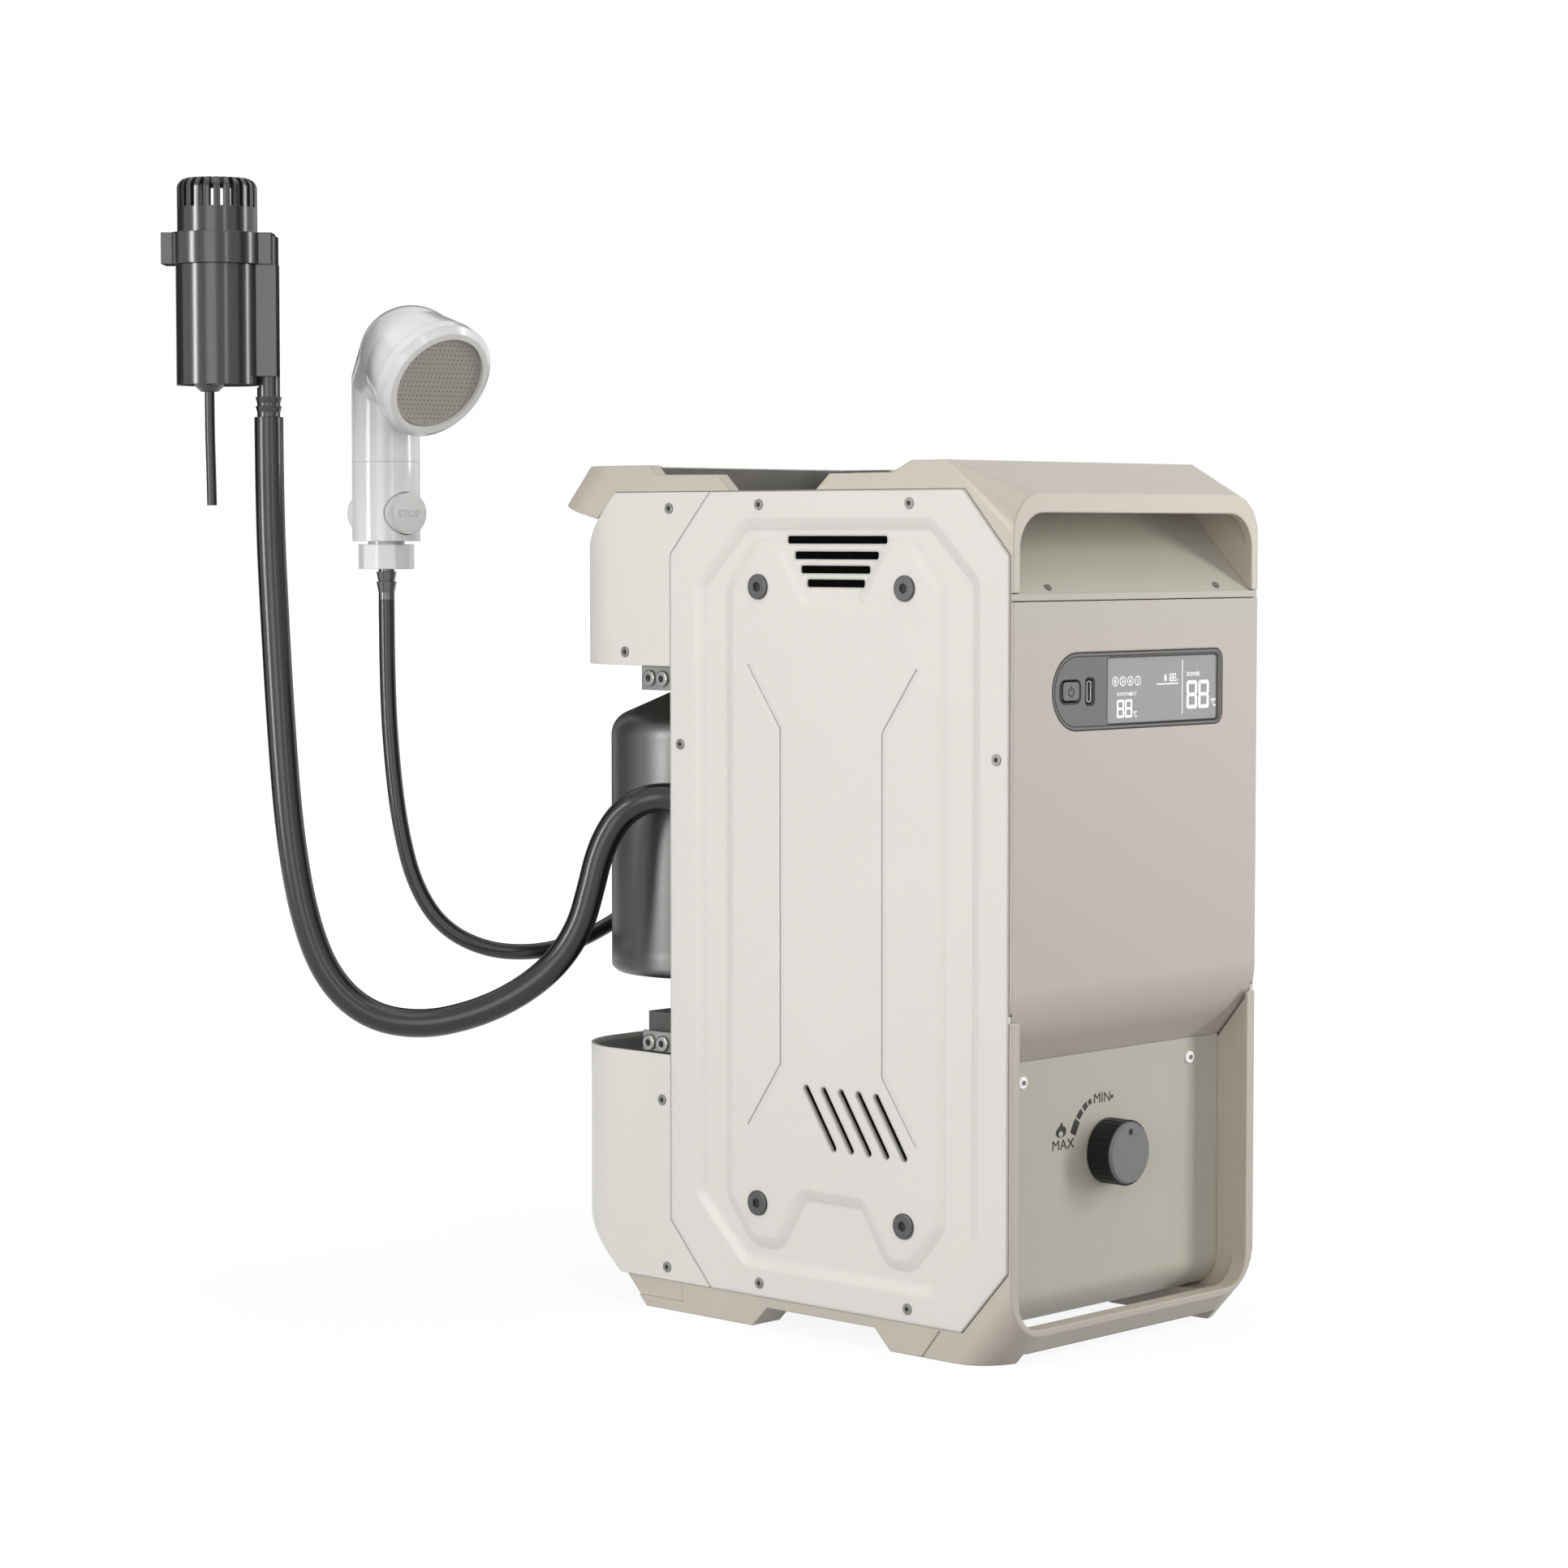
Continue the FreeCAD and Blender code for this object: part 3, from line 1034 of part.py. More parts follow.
def build():
    """Make every sub-part."""
    side_panel("left_side_panel", -1)
    side_panel("right_side_panel", 1)
    rear_cover("rear_upper_cover", UPPER_COVER)
    rear_cover("rear_lower_cover", LOWER_COVER)
    top_frame()
    hood_scoop()
    front_panel()
    recess_panel()
    base_frame()
    chassis()
    bracket("upper_bay_bracket", 293.5, 304.8, 88)
    bracket("lower_bay_bracket", 122.2, 131.8, 87.6)
    fasteners()
    exhaust()
    display()
    gas_train()
    heat_train()
    water_train()
    pump()
    shower()
    tube("pump_hose", PUMP_HOSE, value("pump_hose_diameter"))
    tube("shower_hose", SHOWER_HOSE, value("shower_hose_diameter"))
    tube("pump_cord", PUMP_LEAD, value("pump_lead_diameter"))


def write_parts():
    """Check every object and sub-part, and write each sub-part's shape to its file."""
    failed = [item.Name for item in doc.Objects if {"Invalid", "Error"} & set(item.State)]
    if failed:
        raise RuntimeError(f"objects that failed: {failed}")
    for item in sub_parts:
        if item.Shape.isNull() or not item.Shape.isValid():
            raise RuntimeError(f"{item.Label} has no valid shape")
    os.makedirs("parts", exist_ok=True)
    for item in sub_parts:
        item.Shape.exportStep(f"parts/{item.Label}.step")
        print(f"{item.Label}: {item.Shape.Volume:.0f} mm3 in {len(item.Shape.Solids)} solids")


build()
doc.recompute()
write_parts()
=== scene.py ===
"""Looks of the portable water heater: finishes, hoses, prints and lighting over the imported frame."""

import json
import logging
import math
from collections.abc import Iterable, Sequence
from dataclasses import dataclass
from enum import Enum

import bmesh
import bpy
from mathutils import Matrix, Vector
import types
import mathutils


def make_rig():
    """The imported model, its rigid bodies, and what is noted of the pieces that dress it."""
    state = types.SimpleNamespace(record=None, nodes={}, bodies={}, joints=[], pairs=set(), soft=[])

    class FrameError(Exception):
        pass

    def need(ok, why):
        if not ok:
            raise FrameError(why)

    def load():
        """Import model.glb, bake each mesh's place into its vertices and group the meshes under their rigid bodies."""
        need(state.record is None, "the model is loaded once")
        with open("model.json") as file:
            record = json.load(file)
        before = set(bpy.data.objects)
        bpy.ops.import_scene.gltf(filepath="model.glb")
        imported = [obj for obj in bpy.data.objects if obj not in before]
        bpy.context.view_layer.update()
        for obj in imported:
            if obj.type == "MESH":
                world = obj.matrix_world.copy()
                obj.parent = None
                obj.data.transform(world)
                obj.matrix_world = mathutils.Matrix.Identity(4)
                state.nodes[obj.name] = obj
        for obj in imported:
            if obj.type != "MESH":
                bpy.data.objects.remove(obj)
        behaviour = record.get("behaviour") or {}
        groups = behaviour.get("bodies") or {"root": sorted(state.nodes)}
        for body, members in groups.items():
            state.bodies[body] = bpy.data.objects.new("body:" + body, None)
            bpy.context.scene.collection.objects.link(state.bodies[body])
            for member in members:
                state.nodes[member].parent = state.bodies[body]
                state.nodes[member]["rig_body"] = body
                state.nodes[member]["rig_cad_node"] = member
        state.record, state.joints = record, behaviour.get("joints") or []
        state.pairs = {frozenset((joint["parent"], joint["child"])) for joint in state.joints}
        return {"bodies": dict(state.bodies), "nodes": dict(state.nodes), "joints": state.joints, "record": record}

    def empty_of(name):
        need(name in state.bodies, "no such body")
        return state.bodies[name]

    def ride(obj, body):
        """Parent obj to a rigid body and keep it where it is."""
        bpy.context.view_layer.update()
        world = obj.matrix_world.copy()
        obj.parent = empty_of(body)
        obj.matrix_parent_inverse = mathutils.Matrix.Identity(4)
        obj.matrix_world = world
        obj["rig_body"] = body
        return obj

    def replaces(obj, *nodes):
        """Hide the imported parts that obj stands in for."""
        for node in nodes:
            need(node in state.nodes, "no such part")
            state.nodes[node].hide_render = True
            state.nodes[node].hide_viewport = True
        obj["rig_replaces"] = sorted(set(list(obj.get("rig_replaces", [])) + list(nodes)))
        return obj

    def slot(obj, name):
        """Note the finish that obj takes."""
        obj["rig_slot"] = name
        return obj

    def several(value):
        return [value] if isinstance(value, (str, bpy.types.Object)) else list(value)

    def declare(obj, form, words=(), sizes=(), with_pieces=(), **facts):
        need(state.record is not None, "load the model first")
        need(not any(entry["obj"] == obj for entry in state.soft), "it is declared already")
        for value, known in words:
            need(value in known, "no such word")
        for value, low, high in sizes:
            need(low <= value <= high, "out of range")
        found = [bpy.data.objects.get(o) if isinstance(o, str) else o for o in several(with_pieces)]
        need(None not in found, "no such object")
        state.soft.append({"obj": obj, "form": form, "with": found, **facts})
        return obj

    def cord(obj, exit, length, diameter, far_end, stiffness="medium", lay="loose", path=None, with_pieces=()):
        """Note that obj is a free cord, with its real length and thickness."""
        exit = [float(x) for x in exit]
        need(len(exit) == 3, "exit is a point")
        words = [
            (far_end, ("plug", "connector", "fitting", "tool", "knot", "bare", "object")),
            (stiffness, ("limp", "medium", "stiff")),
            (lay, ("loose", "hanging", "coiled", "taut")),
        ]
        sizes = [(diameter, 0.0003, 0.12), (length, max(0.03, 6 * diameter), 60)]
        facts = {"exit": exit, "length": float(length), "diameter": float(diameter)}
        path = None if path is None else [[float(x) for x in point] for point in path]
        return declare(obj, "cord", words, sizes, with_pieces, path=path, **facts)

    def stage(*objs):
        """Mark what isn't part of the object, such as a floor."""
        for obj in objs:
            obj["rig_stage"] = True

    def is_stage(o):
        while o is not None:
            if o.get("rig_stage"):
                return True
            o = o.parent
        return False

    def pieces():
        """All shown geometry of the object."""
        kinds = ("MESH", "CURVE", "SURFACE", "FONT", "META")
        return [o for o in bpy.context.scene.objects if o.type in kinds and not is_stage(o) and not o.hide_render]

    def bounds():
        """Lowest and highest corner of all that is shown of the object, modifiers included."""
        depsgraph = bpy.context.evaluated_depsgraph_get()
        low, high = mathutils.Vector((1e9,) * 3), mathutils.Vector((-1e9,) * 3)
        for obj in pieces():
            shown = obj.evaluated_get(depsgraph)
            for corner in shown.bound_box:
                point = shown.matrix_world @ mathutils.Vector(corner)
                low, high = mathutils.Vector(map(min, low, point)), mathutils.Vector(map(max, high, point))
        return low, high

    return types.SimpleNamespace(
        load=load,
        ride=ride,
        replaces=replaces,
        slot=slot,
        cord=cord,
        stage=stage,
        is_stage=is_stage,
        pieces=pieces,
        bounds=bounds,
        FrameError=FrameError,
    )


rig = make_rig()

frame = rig.load()

LOG = logging.getLogger("heater")
MM = 0.001
Point = tuple[float, float, float]
Flat = tuple[float, float]
Box = tuple[float, float, float, float]
Socket = bpy.types.NodeSocket
Shape = bmesh.types.BMesh


# ---------------- node helpers

class Tree:
    """A short way of writing a node tree."""

    def __init__(self, tree: bpy.types.NodeTree) -> None:
        """Keep the tree that nodes are added to."""
        self.tree = tree

    def node(self, kind: str, /, **settings: object) -> bpy.types.Node:
        """Add a node.

        Args:
            kind: the node's type name.
            settings: properties to set, or inputs to fill when the name starts with "in_".

        Returns:
            The new node.
        """
        made = self.tree.nodes.new(kind)
        for name, item in settings.items():
            if name.startswith("in_"):
                self.fill(made, **{name[3:]: item})
            else:
                setattr(made, name, item)
        return made

    def fill(self, node: bpy.types.Node, **items: object) -> None:
        """Fill inputs of a node.

        Args:
            node: the node.
            items: outputs or values, by the input's name with underscores for its spaces.
        """
        for name, item in items.items():
            self.link(item, node.inputs[name.replace("_", " ")])

    def link(self, source: object, target: Socket) -> None:
        """Join an output to an input, or set the input to a value.

        Args:
            source: the output or the value.
            target: the input.
        """
        if isinstance(source, Socket):
            self.tree.links.new(source, target)
        else:
            target.default_value = source

    def mapped(self, source: Socket, low: float, high: float,
               from_low: float = 0.3, from_high: float = 0.7) -> Socket:
        """Stretch a value into another range.

        Args:
            source: the value.
            low: what from_low becomes.
            high: what from_high becomes.
            from_low: low end of the value's range.
            from_high: high end of the value's range.

        Returns:
            The stretched value.
        """
        ramp = self.node("ShaderNodeMapRange")
        for socket, item in zip(ramp.inputs, (source, from_low, from_high, low, high)):
            self.link(item, socket)
        return ramp.outputs[0]

    def combined(self, operation: str, *terms: Socket | float) -> Socket:
        """Combine one or two values by a sum.

        Args:
            operation: the sum's name.
            terms: the values, each an output or a number.

        Returns:
            The result.
        """
        step = self.node("ShaderNodeMath", operation=operation)
        for socket, term in zip(step.inputs, terms):
            self.link(term, socket)
        return step.outputs[0]

    def mixed(self, factor: Socket, first: object, second: object) -> Socket:
        """Mix two colours by a value.

        Args:
            factor: how much of the second colour shows.
            first: a colour or a colour output.
            second: a colour or a colour output.

        Returns:
            The mixed colour.
        """
        mix = self.node("ShaderNodeMix", data_type="RGBA")
        self.link(factor, mix.inputs[0])
        for socket, item in ((mix.inputs[6], first), (mix.inputs[7], second)):
            self.link((*item, 1) if isinstance(item, tuple) else item, socket)
        return mix.outputs[2]


class Grain(Enum):
    """How the fine relief of a surface runs."""

    EVEN = (1, 1, 1)
    UPRIGHT = (1, 1, 0.04)
    SIDEWAYS = (0.04, 1, 1)
    TURNED = (1, 1, 14)


# What every finish shares: depths in metres, the rest as shares of one.
COAT_ROUGHNESS = 0.08
FINE_DEPTH = 0.0004
GLOSS_VARIES = 0.12
# Painted highlight: over this range of the softened normal's facing, edges turn paler.
EDGE_HIGHLIGHT_TURN = (0.72, 0.98)


@dataclass(frozen=True)
class Finish:
    """A surface: colour with slow unevenness, fine relief, and softened edges that carry a painted highlight.

    The colour is linear. Edge, belly height and belly reach are in metres, patch and relief scale in
    repeats per metre. The belly is a second tint that shows round one height.
    """

    name: str
    colour: Point
    roughness: float = 0.4
    metallic: float = 0.0
    coat: float = 0.0
    specular: float = 0.5
    uneven: float = 0.03
    patch: float = 9.0
    relief: float = 0.04
    relief_scale: float = 1400.0
    grain: Grain = Grain.EVEN
    edge: float = 0.0006
    # Painted highlight: how far edges are lightened towards a paler colour.
    edge_highlight: float = 0.12
    glow: float = 0.0
    belly: Point | None = None
    belly_height: float = 0.225
    belly_reach: float = 0.085

    def make(self) -> bpy.types.Material:
        """Build the material.

        Returns:
            The material, ready to be put on a piece.
        """
        material = bpy.data.materials.new(self.name)
        material.use_nodes = True
        tree = Tree(material.node_tree)
        shader = material.node_tree.nodes["Principled BSDF"]
        tree.fill(shader, Metallic=self.metallic, Coat_Weight=self.coat, Coat_Roughness=COAT_ROUGHNESS,
                  Specular_IOR_Level=self.specular)
        place = tree.node("ShaderNodeTexCoord").outputs["Object"]
        stretch = tree.node("ShaderNodeMapping", in_Vector=place, in_Scale=self.grain.value)
        clouds = tree.node("ShaderNodeTexNoise", in_Vector=place, in_Scale=self.patch, in_Detail=4.0,
                           in_Roughness=0.6)
        fine = tree.node("ShaderNodeTexNoise", in_Vector=stretch.outputs[0], in_Scale=self.relief_scale,
                         in_Detail=3.0)
        dark = tuple(part * (1 - 2 * self.uneven) for part in self.colour)
        light = tuple(min(1.0, part * (1 + self.uneven)) for part in self.colour)
        base = tree.mixed(tree.mapped(clouds.outputs[0], 0, 1), dark, light)
        if self.belly:
            base = tree.mixed(self.nearness(tree, place), base, self.belly)
        soft = tree.node("ShaderNodeBevel", samples=4, in_Radius=self.edge)
        around = tree.node("ShaderNodeNewGeometry")
        facing = tree.node("ShaderNodeVectorMath", operation="DOT_PRODUCT")
        tree.link(soft.outputs[0], facing.inputs[0])
        tree.link(around.outputs["Normal"], facing.inputs[1])
        # Painted highlight: edges, where the softened normal leaves the true one, are mixed towards a paler colour.
        edge_highlight_share = tree.mapped(facing.outputs["Value"], self.edge_highlight, 0, *EDGE_HIGHLIGHT_TURN)
        highlight_colour = tuple(min(1.0, part * 1.25 + 0.05) for part in self.colour)
        spread = tree.mapped(fine.outputs[0], self.roughness * (1 - GLOSS_VARIES),
                             min(1.0, self.roughness * (1 + GLOSS_VARIES)))
        bump = tree.node("ShaderNodeBump", in_Strength=self.relief, in_Distance=FINE_DEPTH,
                         in_Height=fine.outputs[0], in_Normal=soft.outputs[0])
        tree.fill(shader, Base_Color=tree.mixed(edge_highlight_share, base, highlight_colour), Roughness=spread, Normal=bump.outputs[0])
        if self.glow:
            tree.fill(shader, Emission_Color=(*self.colour, 1), Emission_Strength=self.glow)
        return material

    def nearness(self, tree: Tree, place: Socket) -> Socket:
        """How close a point is to the height at which the second tint shows.

        Args:
            tree: the material's tree.
            place: the point.

        Returns:
            A value that is 1 there and falls to 0 above and below.
        """
        parts = tree.node("ShaderNodeSeparateXYZ")
        tree.link(place, parts.inputs[0])
        away = tree.combined("ABSOLUTE", tree.combined("SUBTRACT", parts.outputs["Z"], self.belly_height))
        return tree.mapped(away, 1, 0, self.belly_reach * 0.5, self.belly_reach)


WARM_WHITE_PAINT = Finish("warm_white_paint", (0.83, 0.805, 0.77), 0.44, uneven=0.01, edge=0.0022,
                          edge_highlight=0.25)
CREAM_PAINT = Finish("cream_paint", (0.82, 0.805, 0.765), 0.38, uneven=0.01, edge=0.0008)
CHAMPAGNE_PAINT = Finish("champagne_paint", (0.60, 0.567, 0.505), 0.44, uneven=0.015, relief=0.05,
                         edge=0.0011, belly=(0.628, 0.560, 0.535), belly_reach=0.105)
CHAMPAGNE_CASTING = Finish("champagne_casting", (0.58, 0.540, 0.472), 0.42, 0.08, uneven=0.015,
                           relief=0.06, edge=0.0011)
CHAMPAGNE_SHEET = Finish("champagne_sheet", (0.58, 0.563, 0.492), 0.44, uneven=0.02, relief=0.05)
ZINC_SHEET = Finish("zinc_sheet", (0.28, 0.28, 0.275), 0.38, 0.9, uneven=0.12, patch=60, relief=0.03,
                    grain=Grain.UPRIGHT)
DARK_SHEET = Finish("dark_sheet", (0.13, 0.128, 0.124), 0.55, 0.3, uneven=0.08, patch=40, relief=0.05)
SCORCHED_STEEL = Finish("scorched_steel", (0.028, 0.026, 0.025), 0.7, 0.4, uneven=0.25, patch=50,
                        relief=0.1)
SCREW_ZINC = Finish("screw_zinc", (0.24, 0.235, 0.228), 0.34, 0.85, relief=0.05, edge=0.0003, edge_highlight=0.3)
BOLT_GREY = Finish("bolt_zinc", (0.10, 0.098, 0.10), 0.36, 0.8, relief=0.05, edge=0.0004, edge_highlight=0.35)
BRIGHT_SCREW = Finish("nickel_plate", (0.34, 0.335, 0.325), 0.2, 1.0, relief=0.02, edge=0.0003)
WHITE_GLOSS = Finish("white_moulding", (0.86, 0.863, 0.868), 0.2, coat=0.3, uneven=0.006, relief=0.01,
                     edge=0.0009, edge_highlight=0.05)
# Painted light: this nylon glows a little though it is no lamp, which brightens the washers, the electrode and the
# impeller.
WASHER_NYLON = Finish("nylon", (0.94, 0.94, 0.935), 0.45, relief=0.02, glow=0.3)
WELL_PAINT = Finish("heat_proof_paint", (0.10, 0.093, 0.083), 0.5, uneven=0.1, patch=40, relief=0.12)
BEZEL_GREY = Finish("bezel_moulding", (0.168, 0.166, 0.164), 0.5, relief=0.1, relief_scale=3000,
                    edge=0.0005)
SCREEN_GREY = Finish("lcd_window", (0.335, 0.335, 0.338), 0.55, specular=0.25, uneven=0.02, relief=0.0,
                     glow=0.3)
SYMBOL_LIGHT = Finish("lcd_segment", (0.93, 0.93, 0.93), 0.5, uneven=0.0, relief=0.0, glow=0.45, edge_highlight=0)
BUTTON_GREY = Finish("button_moulding", (0.15, 0.145, 0.14), 0.4, relief=0.08, relief_scale=3000)
# Painted shade: black for the floors of the screw sockets, the seams and groove round the display, and the knob's
# dimple.
GROOVE_SHADE = Finish("painted_groove_shade", (0.016, 0.016, 0.016), 0.5, specular=0.3, relief=0.02, edge=0.0002,
                      edge_highlight=0)
BLOCK_GREY = Finish("block_moulding", (0.07, 0.069, 0.067), 0.5, relief=0.1, relief_scale=2500,
                    edge_highlight=0.06)
MATT_BLACK = Finish("matt_black", (0.022, 0.021, 0.022), 0.5, relief=0.1, relief_scale=2500, edge=0.0005,
                    edge_highlight=0.04)
KNOB_BLACK = Finish("knob_moulding", (0.016, 0.015, 0.016), 0.34, specular=0.2, relief=0.03,
                    relief_scale=2500, edge_highlight=0.05)
KNOB_FACE = Finish("knob_face", (0.20, 0.20, 0.20), 0.45, relief=0.04, relief_scale=4000,
                   grain=Grain.SIDEWAYS, edge=0.0004)
BOARD_GREEN = Finish("solder_mask", (0.02, 0.16, 0.06), 0.3, uneven=0.2, patch=300, relief=0.2,
                     relief_scale=900)
CELL_WRAP = Finish("shrink_sleeve", (0.03, 0.12, 0.42), 0.25, coat=0.3, relief=0.05)
CAST_ALUMINIUM = Finish("cast_aluminium", (0.56, 0.56, 0.57), 0.48, 1.0, uneven=0.08, patch=120,
                        relief=0.3, relief_scale=1800)
DRAWN_ALUMINIUM = Finish("drawn_aluminium", (0.66, 0.66, 0.67), 0.3, 1.0, relief=0.08, grain=Grain.UPRIGHT)
BOTTLE_ENAMEL = Finish("bottle_enamel", (0.135, 0.135, 0.135), 0.36, 0.7, uneven=0.02, patch=14,
                       relief=0.02, edge=0.003)
TURNED_BRASS = Finish("turned_brass", (0.66, 0.47, 0.19), 0.28, 1.0, relief=0.1, grain=Grain.TURNED)
BRIGHT_COPPER = Finish("bright_copper", (0.72, 0.34, 0.2), 0.3, 1.0, uneven=0.15, patch=70, relief=0.05)
PUMP_BLACK = Finish("pump_moulding", (0.03, 0.03, 0.03), 0.19, specular=0.68, relief=0.0, edge=0.0007,
                    edge_highlight=0.03)
BARB_METAL = Finish("barb_plate", (0.13, 0.13, 0.135), 0.24, 0.8, relief=0.01, grain=Grain.TURNED,
                    edge=0.0004)
SPRAY_GREY = Finish("spray_face", (0.43, 0.405, 0.37), 0.5, relief=0.1, relief_scale=2600, edge=0.0005)
# Dark ink of the dial and button prints; the spray holes take the same black as painted shade.
INK_AND_HOLE_SHADE = Finish("dial_ink_and_hole_shade", (0.02, 0.018, 0.014), 0.5, relief=0.0, edge_highlight=0, uneven=0.05)
HOSE_RUBBER = Finish("hose_rubber", (0.012, 0.012, 0.012), 0.25, specular=0.6, relief=0.0, edge=0.0002,
                     edge_highlight=0)
# Painted shade: near black for the sheets behind the vents, where the case's inside shows only shade.
VENT_SHADE_BLACK = Finish("painted_vent_shade", (0.003, 0.003, 0.003), 0.95, specular=0.02, relief=0.0, edge_highlight=0)
FLAG_CLOTH = Finish("flag_cloth", (0.01, 0.01, 0.01), 0.9, specular=0.0, relief=0.0, edge_highlight=0)


class Wardrobe:
    """Materials, each made once and handed out by finish."""

    def __init__(self) -> None:
        """Start with no material made."""
        self.made: dict[str, bpy.types.Material] = {}

    def get(self, finish: Finish) -> bpy.types.Material:
        """Look up the material of a finish, and make it the first time.

        Args:
            finish: the finish.

        Returns:
            Its material.
        """
        if finish.name not in self.made:
            self.made[finish.name] = finish.make()
        return self.made[finish.name]

    def dress(self, finish: Finish, *nodes: str) -> None:
        """Put a finish on pieces of the frame.

        Args:
            finish: the finish.
            nodes: names of the pieces.
        """
        for name in nodes:
            for slot in frame["nodes"][name].material_slots:
                slot.material = self.get(finish)

    def wear(self, obj: bpy.types.Object, finish: Finish) -> bpy.types.Object:
        """Give a new piece its only material.

        Args:
            obj: the piece.
            finish: its finish.

        Returns:
            The same piece.
        """
        obj.data.materials.clear()
        obj.data.materials.append(self.get(finish))
        return obj


WARDROBE = Wardrobe()


# ---------------- mesh helpers

def linked(name: str, mesh: bpy.types.ID) -> bpy.types.Object:
    """Make an object and put it in the scene.

    Args:
        name: its name.
        mesh: its mesh, curve, lamp or camera.

    Returns:
        The object.
    """
    obj = bpy.data.objects.new(name, mesh)
    bpy.context.scene.collection.objects.link(obj)
    return obj


def finished(name: str, shape: Shape, finish: Finish, body: str, slot: str,
             smooth: float | None = None) -> bpy.types.Object:
    """Turn a built shape into a piece that rides on a body.

    Args:
        name: the piece's name.
        shape: the shape, in metres and in place.
        finish: its finish.
        body: the body it rides on.
        slot: the record's material slot that it takes.
        smooth: the largest angle in degrees across which it is shaded smooth.

    Returns:
        The piece.
    """
    mesh = bpy.data.meshes.new(name)
    shape.normal_update()
    shape.to_mesh(mesh)
    shape.free()
    if smooth is not None:
        mesh.shade_smooth()
        mesh.set_sharp_from_angle(angle=math.radians(smooth))
    obj = WARDROBE.wear(linked(name, mesh), finish)
    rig.ride(obj, body)
    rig.slot(obj, slot)
    LOG.info("%s: %d faces", name, len(mesh.polygons))
    return obj


def upright(across: float, up: float, out: float) -> Matrix:
    """Place a drawing that lies in XY on a wall that faces the front, millimetres in, metres out."""
    spot = Matrix.Translation(Vector((across, -out, up)) * MM)
    return spot @ Matrix.Rotation(math.radians(90), 4, "X") @ Matrix.Scale(MM, 4)


def add_plate(shape: Shape, outline: Sequence[Flat], thick: float, place: Matrix) -> None:
    """Add a flat plate to a shape.

    Args:
        shape: where it goes.
        outline: its corners, anticlockwise seen from its face.
        thick: its thickness.
        place: how the drawing is placed.
    """
    low = [shape.verts.new(place @ Vector((x, y, 0))) for x, y in outline]
    high = [shape.verts.new(place @ Vector((x, y, thick))) for x, y in outline]
    shape.faces.new(high)
    shape.faces.new(low[::-1])
    for index in range(len(outline)):
        after = (index + 1) % len(outline)
        shape.faces.new((low[index], low[after], high[after], high[index]))


def add_band(shape: Shape, outer: Sequence[Flat], inner: Sequence[Flat], thick: float,
             place: Matrix) -> None:
    """Add a flat ring between two outlines of as many corners.

    Args:
        shape: where it goes.
        outer: the outer outline.
        inner: the inner outline.
        thick: its thickness.
        place: how the drawing is placed.
    """
    count = len(outer)
    rows = [[shape.verts.new(place @ Vector((x, y, z))) for x, y in line]
            for z in (0, thick) for line in (outer, inner)]
    low_out, low_in, high_out, high_in = rows
    for index in range(count):
        after = (index + 1) % count
        shape.faces.new((high_out[index], high_out[after], high_in[after], high_in[index]))
        shape.faces.new((low_in[index], low_in[after], low_out[after], low_out[index]))
        shape.faces.new((low_out[index], low_out[after], high_out[after], high_out[index]))
        shape.faces.new((low_in[after], low_in[index], high_in[index], high_in[after]))


def arc(centre: Flat, radius: float, start: float, end: float, steps: int) -> list[Flat]:
    """Points along an arc.

    Args:
        centre: its centre.
        radius: its radius.
        start: the angle of the first point, in degrees anticlockwise from the right.
        end: the angle of the last point.
        steps: how many steps lie between them.

    Returns:
        The points.
    """
    turns = [math.radians(start + (end - start) * step / steps) for step in range(steps + 1)]
    return [(centre[0] + radius * math.cos(turn), centre[1] + radius * math.sin(turn)) for turn in turns]


def oblong(wide: float, tall: float) -> list[Flat]:
    """Four corners of a rectangle round the origin, from the lower left, anticlockwise."""
    return [(x * wide / 2, y * tall / 2) for x, y in ((-1, -1), (1, -1), (1, 1), (-1, 1))]


def rounded(left: float, low: float, right: float, high: float, radii: Sequence[float],
            steps: int = 8) -> list[Flat]:
    """Outline a rectangle whose corners are rounded.

    Args:
        left: its left edge.
        low: its bottom.
        right: its right edge.
        high: its top.
        radii: the corners' radii, anticlockwise from the lower left.
        steps: steps in each corner.

    Returns:
        The outline, in the same order.
    """
    corners = ((left, low, 1, 1, 180), (right, low, -1, 1, 270),
               (right, high, -1, -1, 0), (left, high, 1, -1, 90))
    line: list[Flat] = []
    for (x, y, inward, upward, start), radius in zip(corners, radii):
        line += arc((x + inward * radius, y + upward * radius), radius, start, start + 90, steps)
    return line


def lettering(text: str, height: float, place: Matrix, shape: Shape, thick: float = 0.08,
              width: float | None = None, bold: float = 0.0) -> None:
    """Add raised letters to a shape.

    Args:
        text: the letters.
        height: height of the line, in millimetres.
        place: how the drawing is placed; its middle goes to the origin of the drawing.
        shape: where the letters go.
        thick: how far they stand up.
        width: width of the line, where it isn't the plain font's.
        bold: how far the strokes swell, as a share of the font's size.
    """
    curve = bpy.data.curves.new("letters", "FONT")
    curve.body = text
    curve.align_x, curve.align_y = "CENTER", "CENTER"
    curve.resolution_u = 3
    curve.extrude = thick / 2
    curve.offset = bold
    obj = linked("letters", curve)
    bpy.context.view_layer.update()
    mesh = bpy.data.meshes.new_from_object(obj.evaluated_get(bpy.context.evaluated_depsgraph_get()))
    across, up = [sorted(vertex.co[axis] for vertex in mesh.vertices) for axis in (0, 1)]
    tall = height / (up[-1] - up[0])
    wide = width / (across[-1] - across[0]) if width else tall
    mesh.transform(place @ Matrix.Translation((0, 0, thick / 2)) @ Matrix.Diagonal((wide, tall, 1, 1))
                   @ Matrix.Translation((-(across[0] + across[-1]) / 2, -(up[0] + up[-1]) / 2, 0)))
    shape.from_mesh(mesh)
    bpy.data.objects.remove(obj)
    bpy.data.meshes.remove(mesh)


# ---------------- studio

